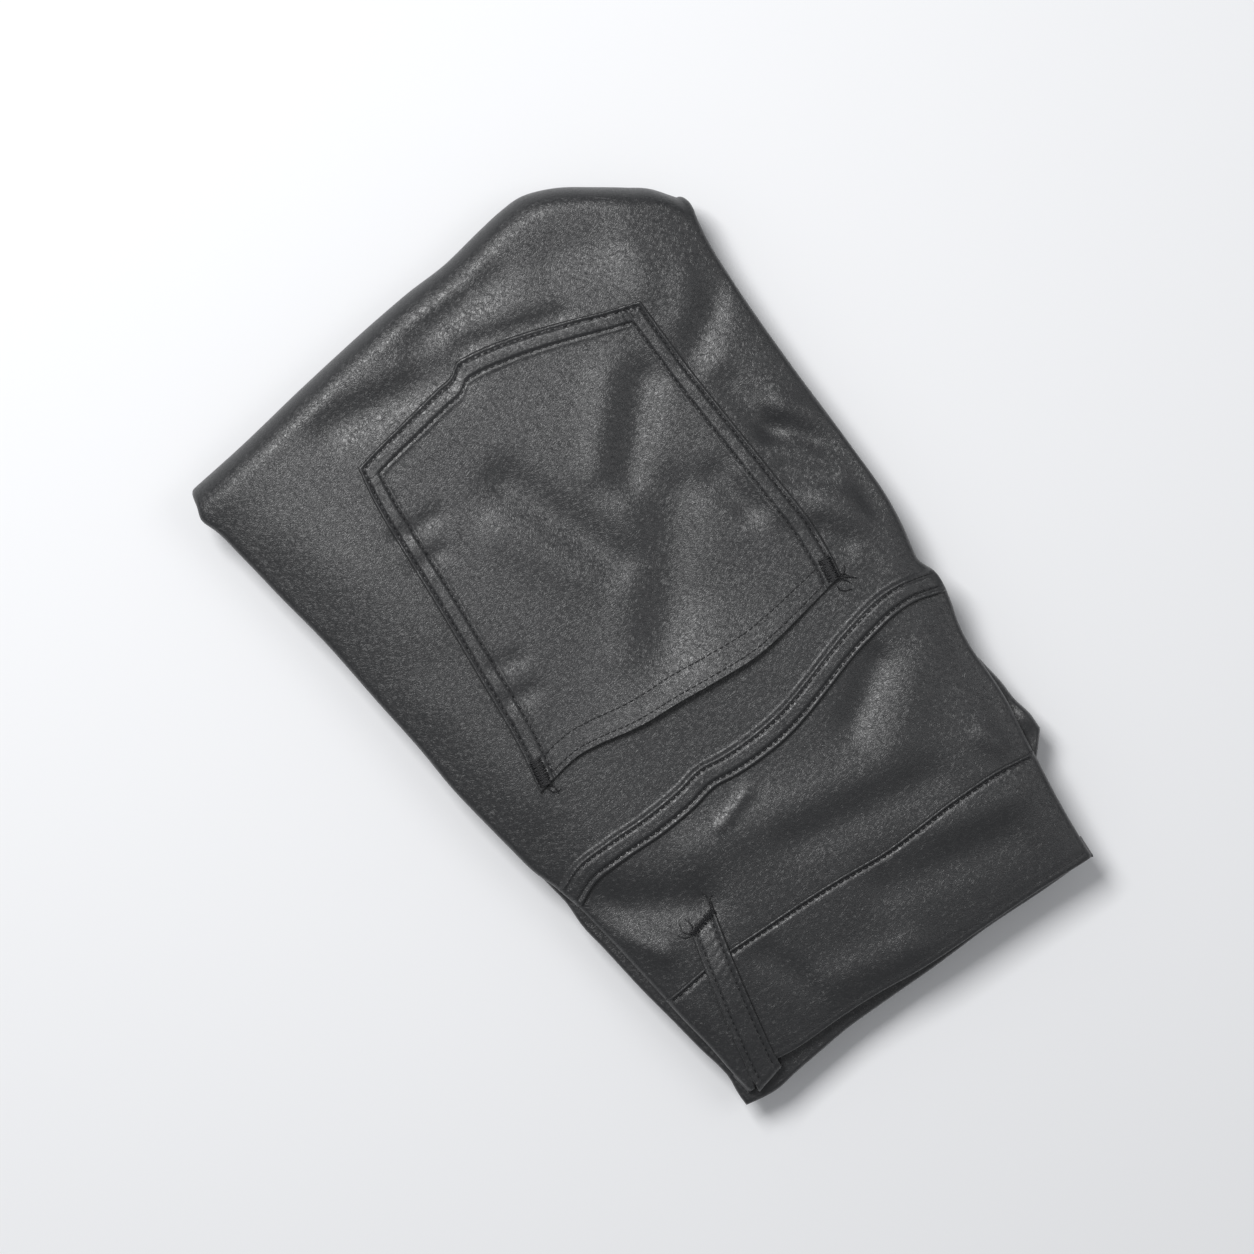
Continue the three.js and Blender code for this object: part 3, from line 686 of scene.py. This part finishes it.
@dataclass(frozen=True)
class Waistband:
    """The waistband's outer cloth, rolled under at the rim."""

    seam: LappedEdge = LappedEdge(rows=(2.1,), high=1.8)
    near: tuple = (0.0, 0.0, 0.15, 0.4, 0.8, 1.2, 1.6, 2.0, 2.4, 2.8, 3.4, 4.2, 5.2)
    rows: int = 34
    lip_under: float = -25.0
    roll: float = 2.2
    roll_high: float = 1.3
    inward: tuple = (1.0, 3.0, 6.0)
    rim_row: float = 3.0

    def rim_groove(self, x: np.ndarray, from_rim: np.ndarray) -> np.ndarray:
        """Depth of the rim's stitch row, a bell across it, less the puckers beside it."""
        puckers = 0.12 * uneven(x, 2.9, 0.9) * bump_at(from_rim, 1.6, 1.4)
        return 0.42 * bump_at(from_rim, self.rim_row, 0.6) - puckers

    def build(self, wardrobe: Wardrobe) -> None:
        """Makes it: rows from the lower seam to the rim, then a half round and a strip inside.

        Args:
            wardrobe: the finishes.
        """
        col = Columns.spaced(FLAT_COLUMNS, PATTERN.lip, under=self.lip_under)
        band, rim = curve(PATTERN.band, col.share), curve(PATTERN.rim, col.share)
        near = np.array(self.near)
        share = np.linspace(0, 1, self.rows)[1:]
        even = band - near[-1] + share[:, None] * (rim + self.roll - band + near[-1])
        y = np.concatenate([band - near[:, None], even])
        x = PATTERN.across(col.share, y, col.off)
        z = (PATTERN.top(x, y) - col.drop + self.seam.lift(band - y, uneven(x, 4.6, 2.2))
             - self.rim_groove(x, y - rim))
        z[0] -= EDGE_TUCK
        turn = np.radians(np.linspace(20, 200, 9))[:, None]
        roll_y = y[-1] - self.roll * np.sin(turn)
        roll_z = z[-1] - self.roll_high * (1 - np.cos(turn))
        inward = np.array(self.inward)[:, None]
        y = np.concatenate([y, roll_y, roll_y[-1] + inward])
        strip = np.broadcast_to(roll_z[-1], (len(self.inward), len(col.share)))
        z = np.concatenate([z, roll_z, strip])
        x = PATTERN.across(col.share, y, col.off)
        points = np.stack([x, y, z], axis=-1)[::-1]
        wardrobe.cloth("waistband_cloth", points, ("waistband",), ("back_yoke_cloth",),
                       thickness=TRIM_CLOTH)


@dataclass(frozen=True)
class Pocket:
    """The patch pocket: a hemmed mouth that stands off, turned edges, twin stitch rows."""

    mouth: tuple = (
        (0, -22.0), (0.05, -20.6), (0.1, -19.3), (0.15, -18.8), (0.2, -19.8), (0.32, -23.5),
        (0.45, -25.1), (0.57, -27.0), (0.7, -28.1), (0.78, -26.8), (0.9, -23.8), (1, -21.3),
    )
    foot: tuple = (
        (0, 126.7), (0.1, 129.2), (0.2, 131.2), (0.34, 134.2), (0.4, 135.4), (0.43, 138.2),
        (0.47, 138.0), (0.55, 136.0), (0.65, 132.3), (0.76, 127.2), (0.88, 120.8), (1, 115.2),
    )
    left: tuple = (
        (0, -71.4), (0.13, -67.9), (0.35, -64.6), (0.56, -61.7), (0.76, -59.6), (0.86, -58.4),
        (0.92, -57.2), (1, -54.9),
    )
    right: tuple = (
        (0, 77.7), (0.06, 79.2), (0.14, 80.4), (0.33, 79.8), (0.52, 78.4), (0.71, 77.1), (1, 76.3),
    )
    sides: LappedEdge = LappedEdge(rows=(2.2, 8.2), high=1.9)
    hem: LappedEdge = LappedEdge(rows=(2.6, 10.0), high=1.9)
    wide: float = 146.0
    side_long: float = 152.0
    mouth_long: float = 150.0
    tall: float = 158.0
    gape: float = 3.4
    single: float = 0.7
    lift: float = 0.15

    def spaced(self, inner: int) -> np.ndarray:
        """Shares from 0 to 1, dense within about 12 mm of both ends.

        Args:
            inner: how many even shares there are between, both joins counted.

        Returns:
            The shares.
        """
        near = np.concatenate([[0, 0.12, 0.35, 0.7], np.arange(1.1, 12, 0.5)]) / self.side_long
        middle = np.linspace(near[-1], 1 - near[-1], inner)[1:-1]
        return np.concatenate([near, middle, 1 - near[::-1]])

    def place(self, p: np.ndarray, q: np.ndarray) -> tuple[np.ndarray, np.ndarray]:
        """X and Y at shares of the pocket's width and height.

        Args:
            p: share of the width.
            q: share of the height, from the mouth.

        Returns:
            X and Y, in millimetres.
        """
        mouth, foot = curve(self.mouth, p), curve(self.foot, p)
        left, right = curve(self.left, q), curve(self.right, q)
        return left + p * (right - left), mouth + q * (foot - mouth)

    def height(self, p: np.ndarray, q: np.ndarray) -> np.ndarray:
        """Height of the pocket's face: the cloth below, and the lower of its two lapped edges.

        The mouth stands off in an arch that dies away down the pocket, and one lower band laps
        the other at the point with a small step.

        Args:
            p: share of the width.
            q: share of the height, from the mouth.

        Returns:
            The height, in millimetres.
        """
        x, y = self.place(p, q)
        high = self.tall - 24 * np.abs(p - 0.45)
        from_side = np.minimum(p, 1 - p) * self.wide
        below, above = (1 - q) * high, q * high
        border = np.minimum(from_side, below)
        around = np.where(from_side < below, y + 40 * np.sign(p - 0.5), x)
        strong = 0.5 + 0.9 * step_up(p, 0.42, 0.5) * (below < from_side)
        edge = self.sides.lift(border, uneven(around, 3.4, 1.7) * strong)
        edge = edge - self.single * step_up(border, 7.6, 11)
        hem = self.hem.lift(above, 0.6 * uneven(x, 4.4, 0.3))
        hem = hem - self.single * step_up(above, 9.4, 13)
        arch = np.sin(np.pi * np.clip(p * 1.02, 0, 1)) ** 1.6
        gape = self.gape * arch * np.clip(1 - above / 34, 0, 1) ** 1.6
        step = 0.5 * step_up(p, 0.425, 0.44) * np.clip(1 - below / 8.5, 0, 1)
        return PATTERN.top(x, y) + np.minimum(edge, hem + 0.6) + gape + step + self.lift

    def face(self, p: np.ndarray, q: np.ndarray, above: float = 0.0) -> np.ndarray:
        """Points on the pocket's face, or a little above it."""
        x, y = self.place(p, q)
        return np.stack([x, y, self.height(p, q) + above], axis=-1)

    def build(self, wardrobe: Wardrobe) -> None:
        """Makes the pocket."""
        p, q = np.meshgrid(self.spaced(58), self.spaced(62))
        wardrobe.cloth("back_pocket_cloth", self.face(p, q), ("back_pocket",), ("back_panel_cloth",),
                       thickness=TRIM_CLOTH)


@dataclass(frozen=True)
class BeltLoop:
    """The belt loop: a narrow strip with two stitch rows, turned over the rim."""

    line: tuple = (
        (-169.4, -63.4), (-163, -62.8), (-156, -61.4), (-146, -59.4), (-136, -57.2), (-126, -54.9),
        (-116.5, -52.6), (-109, -50.6), (-101.0, -48.4),
    )
    lifts: tuple = (
        (-169.4, 2.4), (-163, 2.7), (-150, 3.2), (-136, 3.4), (-122, 3.0), (-113, 1.9), (-106, 1.2),
        (-101, 0.9),
    )
    half: float = 6.7
    tilt: float = 0.235
    row: float = 0.6
    top_y: float = -101.0
    rim_y: float = -166.5
    long_count: int = 68
    over_count: int = 33
    roll_count: int = 10

    def point(self, y: np.ndarray, over: np.ndarray) -> np.ndarray:
        """Points of its face: raised edges, a groove along each stitch row, edges rounded off.

        Args:
            y: the place down the loop.
            over: the share across it, from -1 to 1.

        Returns:
            The points.
        """
        x = np.interp(y, *np.array(self.line).T)
        px, py = x + over * self.half, y + over * self.half * self.tilt
        edge = 0.35 * bump_at(np.abs(over), 0.93, 0.16) - 0.42 * bump_at(np.abs(over), self.row, 0.09)
        fall = 0.8 * (1 - quarter_round((np.abs(over) - 0.9) / 0.1))
        z = PATTERN.top(px, py) + np.interp(y, *np.array(self.lifts).T) + edge - fall
        return np.stack([px, py, z + 0.12 * uneven(y, 3.6, over)], axis=-1)

    def build(self, wardrobe: Wardrobe) -> None:
        """Makes the loop, its end rolled over the rim in a half ellipse.

        Args:
            wardrobe: the finishes.
        """
        y, over = np.meshgrid(np.linspace(self.top_y, self.rim_y, self.long_count),
                              np.linspace(-1, 1, self.over_count), indexing="ij")
        flat = self.point(y, over)
        end_x, end_y, end_z = flat[-1].T
        turn = np.radians(np.linspace(12, 170, self.roll_count))[:, None]
        rolled = np.stack([end_x - 0.4 * np.sin(turn), end_y - 3.4 * np.sin(turn),
                           end_z - 3.0 * (1 - np.cos(turn))], axis=-1)
        wardrobe.cloth("belt_loop_cloth", np.concatenate([flat, rolled])[::-1], ("belt_loop",),
                       ("waistband_cloth",), thickness=TRIM_CLOTH)


@dataclass(frozen=True)
class LegEdge:
    """One layer of the stack, seen at its edges: shares of the height, and how far inside it lies."""

    name: str
    low: float
    high: float
    side: float
    back: float
    waist: float
    nodes: tuple = ()
    face: Face = Face.COATED


@dataclass(frozen=True)
class Layers:
    """The layers below the top one: a strip hooked round the outline for each, empty inside."""

    legs: tuple = (
        LegEdge("lower_leg_outer", 0.09, 0.2, 4.6, 4.8, 16, nodes=("hidden_layers",)),
        LegEdge("lower_leg_inner", 0.2, 0.36, 3.4, 3.6, 15),
        LegEdge("hem_leg_inner", 0.36, 0.5, 5.6, 2.6, 15),
        LegEdge("hem_leg_outer", 0.5, 0.655, 3.2, 4.6, 14),
        LegEdge("front_panel_cloth", 0.83, 0.93, 1.6, 1.8, 1.6, nodes=("waistband_facing",),
                face=Face.BACKING),
    )
    other: LegEdge = LegEdge("other_half_cloth", 0.665, 0.82, 0.0, 2.8, 0.0,
                             nodes=("other_back_edge", "other_yoke_edge", "other_waistband"))
    reach: float = 16.0
    other_reach: float = 24.0
    round_off: float = 2.0
    fold_share: float = 0.62
    other_end: float = -40.0

    def outline(self, leg: LegEdge, share: np.ndarray) -> tuple:
        """The side edge and the waist edge that a layer follows.

        Args:
            leg: the layer.
            share: shares of the width.

        Returns:
            The table of the side edge and Y of the waist edge.
        """
        if leg is self.other:
            return self.other_left, curve(PATTERN.other_rim, share)
        return self.top_left, curve(PATTERN.rim, share)

    def top_left(self, y: np.ndarray) -> np.ndarray:
        """X of the top leg's side edge."""
        return curve(PATTERN.left, y)

    def other_left(self, y: np.ndarray) -> np.ndarray:
        """X of the other half's side edge, which follows the top leg's below the yoke."""
        return np.where(y < self.other_end, curve(PATTERN.other, y), self.top_left(y))

    def hook(self, leg: LegEdge, reach: float) -> np.ndarray:
        """A half round carried down one side, along the waist end and up the other side.

        Args:
            leg: the layer.
            reach: how far its cloth runs inside.

        Returns:
            Rows of the hook, from its upper to its lower face, along the path.
        """
        down, over = np.linspace(1, 0, 90), np.linspace(0, 1, 46)[1:-1]
        share = np.concatenate([0 * down, over, 0 * down + 1])
        t = np.concatenate([down, 0 * over, down[::-1]])
        turn = np.radians(np.linspace(90, -90, 13))
        curl = self.round_off * (1 - np.cos(turn))
        inset = np.concatenate([[reach, reach * 0.5], curl, [reach * 0.5, reach]])[:, None]
        rise = np.concatenate([[1, 1], (1 + np.sin(turn)) / 2, [0, 0]])[:, None]
        left, rim = self.outline(leg, share)
        wobble = 0.5 * np.sin(t * 23 + 5 * leg.low * 9) + 0.4 * np.sin(share * 19 + leg.high * 31)
        start = rim + leg.waist + inset + 0.4 * wobble
        end = curve(PATTERN.fold, share) - PATTERN.fold_depth * self.fold_share
        y = start + t * (end - start)
        low = left(y) + leg.side + inset + 0.5 * wobble
        high = curve(PATTERN.right, y) - leg.back - inset - 0.5 * wobble
        x = low + share * (high - low)
        z = (leg.low + rise * (leg.high - leg.low)) * PATTERN.top(x, y)
        return np.stack([x, y, z], axis=-1)[:, ::-1]

    def build(self, wardrobe: Wardrobe) -> None:
        """Makes every layer's edge."""
        edge = self.hook(self.other, self.other_reach)
        wardrobe.cloth(self.other.name, edge, self.other.nodes, ("hem_leg_outer",))
        for leg in self.legs:
            wardrobe.cloth(leg.name, self.hook(leg, self.reach), leg.nodes, ("floor",), face=leg.face)


@dataclass(frozen=True)
class LegCorner:
    """The corner of a lower leg that stands out past the centre-back edge, crumpled."""

    line: tuple = (
        (-129, 98.6), (-123, 104.4), (-119, 108.0), (-112, 107.6), (-102, 106.5), (-92, 105.6),
        (-82, 104.4), (-74, 102.4),
    )
    low: float = 13.0
    high: float = 6.5
    round_off: float = 2.2
    pleat: float = 0.9

    def build(self, wardrobe: Wardrobe) -> None:
        """Makes the corner: a half round along its outline, with ripples across it.

        Args:
            wardrobe: the finishes.
        """
        y = np.linspace(-129, -74, 60)[None, :]
        turn = np.radians(np.linspace(90, -90, 15))
        inset = np.concatenate([[14, 8, 4], self.round_off * (1 - np.cos(turn)), [4, 9]])[:, None]
        rise = np.concatenate([[1, 1, 1], (1 + np.sin(turn)) / 2, [0, 0]])[:, None]
        pleats = self.pleat * np.sin(y / 3.1) * bump_at(y, -108, 14)
        x = np.interp(y, *np.array(self.line).T) - inset + 0.4 * pleats
        z = self.low + self.high * rise + pleats * rise
        points = np.stack(np.broadcast_arrays(x, y, z), axis=-1)[:, ::-1]
        wardrobe.cloth("front_panel_corner_cloth", points, ("front_panel_corner",),
                       ("hem_leg_outer",))


@dataclass
class Stitching:
    """Rows of stitches, each a short thread that dips into the cloth at both ends."""

    pitch: float = 2.8
    radius: float = 0.27
    sides: int = 6
    arch: float = 0.16
    sunk: float = 0.05
    rows: list = field(default_factory=list)

    def add(self, path: np.ndarray, share: float = 0.74) -> None:
        """Adds a row of stitches at even steps along a path of points on the cloth.

        Args:
            path: the points, in millimetres.
            share: how much of each pitch the thread shows for.
        """
        steps = np.linalg.norm(np.diff(path, axis=0), axis=1)
        at = np.concatenate([[0], np.cumsum(steps)])
        count = max(int(at[-1] / self.pitch), 1)
        begin = (np.arange(count) + 0.13) * at[-1] / count
        where = begin[:, None] + THREAD_PART * share * at[-1] / count
        self.rows.append(np.stack([np.interp(where, at, path[:, k]) for k in range(3)], axis=-1))

    def strand(self, points: np.ndarray) -> None:
        """Adds one loose thread through five points."""
        self.rows.append(points[None, :, :])

    def tack(self, start: np.ndarray, end: np.ndarray, width: float, count: int) -> None:
        """A bar tack: threads laid side by side across a short line, slightly uneven.

        Args:
            start: one end of the line.
            end: its other end.
            width: how long each thread is.
            count: how many threads there are.
        """
        way = end - start
        over = np.array([-way[1], way[0], 0]) / np.hypot(way[0], way[1])
        part = THREAD_PART[:, None] - 0.5
        for k in range(count):
            middle = start + way * (k + 0.5) / count
            slant = 0.25 * math.sin(k * 2.4)
            line = middle + over * width * part + way / np.linalg.norm(way) * slant * part * 2
            line[:, 2] += 0.35 + 0.12 * math.sin(k * 1.9)
            self.strand(line)

    def loose_ends(self, start: np.ndarray, ends: tuple) -> None:
        """Short frayed ends that run out from a tack, each bent in half a wave.

        Args:
            start: where they begin.
            ends: X and Y of each end from there, and its bend.
        """
        part = THREAD_PART[:, None]
        for dx, dy, bend in ends:
            aside = np.array([-dy, dx, 0.0]) * bend * np.sin(np.pi * part)
            line = start + np.array([dx, dy, 0.0]) * part + aside
            line[:, 2] = PATTERN.top(line[:, 0], line[:, 1]) + 0.5 + 0.6 * (1 - part[:, 0])
            self.strand(line)

    def rings(self) -> np.ndarray:
        """Rings of a tapered tube round each thread, level with it and across it.

        Returns:
            Threads x rings x corners x 3.
        """
        line = np.concatenate(self.rows)
        arch = np.sin(np.pi * THREAD_PART)
        line = line + np.array([0, 0, 1.0]) * (self.arch * arch - self.sunk)[None, :, None]
        ahead = np.gradient(line, axis=1)
        ahead /= np.maximum(np.linalg.norm(ahead, axis=-1, keepdims=True), TINY)
        side = np.cross(ahead, [0, 0, 1.0])
        side /= np.maximum(np.linalg.norm(side, axis=-1, keepdims=True), TINY)
        up = np.cross(side, ahead)
        turn = (np.arange(self.sides) / self.sides * math.tau)[:, None]
        radius = self.radius * (0.45 + 0.55 * arch)[None, :, None, None]
        spoke = np.cos(turn) * side[:, :, None, :] + np.sin(turn) * up[:, :, None, :]
        return line[:, :, None, :] + radius * spoke

    def build(self, name: str, wardrobe: Wardrobe) -> None:
        """Makes all rows one mesh of closed tubes.

        Args:
            name: the piece's name.
            wardrobe: the finishes.
        """
        ring = self.rings()
        count, length, sides = ring.shape[:3]
        index = np.arange(count * length * sides).reshape(count, length, sides)
        after = np.roll(index, -1, axis=2)
        corners = [index[:, :-1], index[:, 1:], after[:, 1:], after[:, :-1]]
        quads = np.stack(corners, axis=-1).reshape(-1, 4).tolist()
        caps = index[:, 0, :].tolist() + index[:, -1, ::-1].tolist()
        mesh = bpy.data.meshes.new(name)
        mesh.from_pydata(in_metres(ring).reshape(-1, 3).tolist(), [], quads + caps)
        mesh.shade_smooth()
        mesh.materials.append(wardrobe.thread)
        piece = place_object(name, mesh)
        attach(piece, "root")
        LOG.info("%s: %d stitches", name, count)


@dataclass(frozen=True)
class Sewing:
    """Every stitch row, tack and loose end on the trousers."""

    samples: int = 300
    tack_count: int = 26
    right_ends: tuple = ((6, -2, 0.3), (7, 2.5, -0.2), (5, -5, 0.15), (8, -4.5, 0.1), (4, -7, -0.3))
    left_ends: tuple = ((2, -6, 0.2), (4, -5, -0.3))
    loop_ends: tuple = (((-2, 6, 0.2), (1, 7, -0.2), (-5, 3, 0.2)), ((3, 5, 0.3), (0, 8, -0.1)))

    def across_row(self, line: tuple, off: float, lift: float) -> np.ndarray:
        """A path across the trousers beside one of the pattern's lines, down over the lips.

        Args:
            line: the pattern's line.
            off: how far beside it the path runs.
            lift: height above the cloth.

        Returns:
            The path.
        """
        share = np.linspace(0.012, 0.988, 400)
        y = curve(line, share) + off
        x = PATTERN.across(share, y, 0)
        edge = np.minimum(share, 1 - share) * 190
        fall = PATTERN.lip * (1 - quarter_round(1 - edge / PATTERN.lip))
        return np.stack([x, y, PATTERN.top(x, y) + lift - fall], axis=-1)

    def seams(self, wardrobe: Wardrobe) -> None:
        """Sews the felled seam, the waistband's lower edge and its rim."""
        sewing, seam = Stitching(), BackPanel().seam
        for row in seam.rows:
            sewing.add(self.across_row(PATTERN.yoke, row, seam.high - 0.3))
        sewing.add(self.across_row(PATTERN.band, -2.1, 1.55))
        sewing.add(self.across_row(PATTERN.rim, 3.0, 1.45))
        sewing.build("seam_stitching", wardrobe)

    def pocket(self, wardrobe: Wardrobe) -> None:
        """Sews twin rows round the pocket and along its mouth, and a tack at each corner.

        Args:
            wardrobe: the finishes.
        """
        pocket, sewing, above = Pocket(), Stitching(), 0.1
        for row in pocket.sides.rows:
            edge_p, edge_q = row / pocket.wide, row / pocket.side_long
            down = np.linspace(0.015, 1 - edge_q, self.samples)
            over = np.linspace(edge_p, 1 - edge_p, self.samples)
            for p, q in ((edge_p, down), (over, 1 - edge_q), (1 - edge_p, down)):
                sewing.add(pocket.face(*np.broadcast_arrays(p, q), above))
        for row in pocket.hem.rows:
            over = np.linspace(0.06, 0.94, self.samples)
            sewing.add(pocket.face(*np.broadcast_arrays(over, row / pocket.mouth_long), above))
        for p, ends in ((0.975, self.right_ends), (0.025, self.left_ends)):
            start, end = pocket.face(np.full(2, p), np.array([0.004, 0.075]))
            sewing.tack(start, end, 5.4, self.tack_count)
            sewing.loose_ends(start, ends)
        sewing.build("pocket_stitching", wardrobe)

    def loop(self, wardrobe: Wardrobe) -> None:
        """Sews the loop's two rows and its tack.

        Args:
            wardrobe: the finishes.
        """
        loop, sewing = BeltLoop(), Stitching(pitch=2.7)
        for over in (-loop.row, loop.row):
            sewing.add(loop.point(np.linspace(-103, -166, 200), np.full(200, over)))
        corners = loop.point(np.array([-102.0, -102.0]), np.array([-0.95, 0.95]))
        sewing.tack(*corners, 3.2, self.tack_count)
        for corner, ends in zip(corners, self.loop_ends):
            sewing.loose_ends(corner, ends)
        sewing.build("loop_stitching", wardrobe)

    def build(self, wardrobe: Wardrobe) -> None:
        """Sews everything."""
        self.seams(wardrobe)
        self.pocket(wardrobe)
        self.loop(wardrobe)


@dataclass(frozen=True)
class Studio:
    """A pale floor, soft light from the side of the thigh fold, and a camera straight above."""

    view_width: float = 0.5016
    sensor: float = 36.0
    camera_height: float = 1.35
    centre: tuple = (-4.3, 11.9)
    turn: float = -35.68
    floor_reach: float = 3.0
    floor_colour: tuple = (0.88, 0.885, 0.9, 1)
    sky_colour: tuple = (0.95, 0.97, 1.0, 1)
    sky_strength: float = 0.27

    def build(self) -> None:
        """Makes the floor, the camera, the lamps and the world."""
        scene = bpy.context.scene
        scene.view_settings.view_transform = "Standard"
        self.floor()
        self.camera(scene)
        self.lamp("key", (-0.13, 0.84, 1.40), 0.6, 21.5)
        self.lamp("fill", (0.70, -0.30, 1.1), 0.6, 1.8)
        world = bpy.data.worlds.new("studio")
        scene.world = world
        world.use_nodes = True
        sky = world.node_tree.nodes["Background"]
        sky.inputs["Color"].default_value = self.sky_colour
        sky.inputs["Strength"].default_value = self.sky_strength

    def lamp(self, name: str, place: tuple, size: float, watts: float) -> None:
        """A square soft lamp that faces the trousers.

        Args:
            name: the lamp's name.
            place: where it stands, in metres.
            size: its side, in metres.
            watts: its power.
        """
        light = bpy.data.lights.new(name, "AREA")
        light.size = size
        light.energy = watts
        lamp = place_object(name, light)
        lamp.location = place
        x, y, z = place
        lamp.rotation_euler = (math.atan2(math.hypot(x, y), z), 0, math.atan2(y, x) + math.pi / 2)

    def camera(self, scene: bpy.types.Scene) -> None:
        """The camera, looking straight down, with the lens that gives the view its width.

        Args:
            scene: the scene that it is for.
        """
        data = bpy.data.cameras.new("camera")
        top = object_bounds()[1][2]
        data.sensor_width = self.sensor
        data.lens = self.sensor * (self.camera_height - top) / self.view_width
        camera = place_object("camera", data)
        x, y, _ = in_metres(np.array([*self.centre, 0.0]))
        camera.location = (x, y, self.camera_height)
        camera.rotation_euler = (0, 0, math.radians(self.turn))
        scene.camera = camera

    def floor(self) -> None:
        """The floor: one large pale plane."""
        mesh = bpy.data.meshes.new("floor")
        far = self.floor_reach
        mesh.from_pydata([(-far, -far, 0), (far, -far, 0), (far, far, 0), (-far, far, 0)],
                         [], [(0, 1, 2, 3)])
        look = Shading("floor")
        look.constants(look.shader, {
            "Base Color": self.floor_colour, "Roughness": 0.8, "Specular IOR Level": 0.2,
        })
        mesh.materials.append(look.material)
        place_object("floor", mesh)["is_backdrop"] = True


def main() -> None:
    """Builds the studio, the cloth and the sewing, in that order."""
    logging.basicConfig(level=logging.INFO, format="%(name)s: %(message)s")
    Studio().build()
    wardrobe = Wardrobe()
    parts = (BackPanel(), Yoke(), Waistband(), Pocket(), BeltLoop(), Layers(), LegCorner(), Sewing())
    for part in parts:
        part.build(wardrobe)


if __name__ == "__main__":
    main()
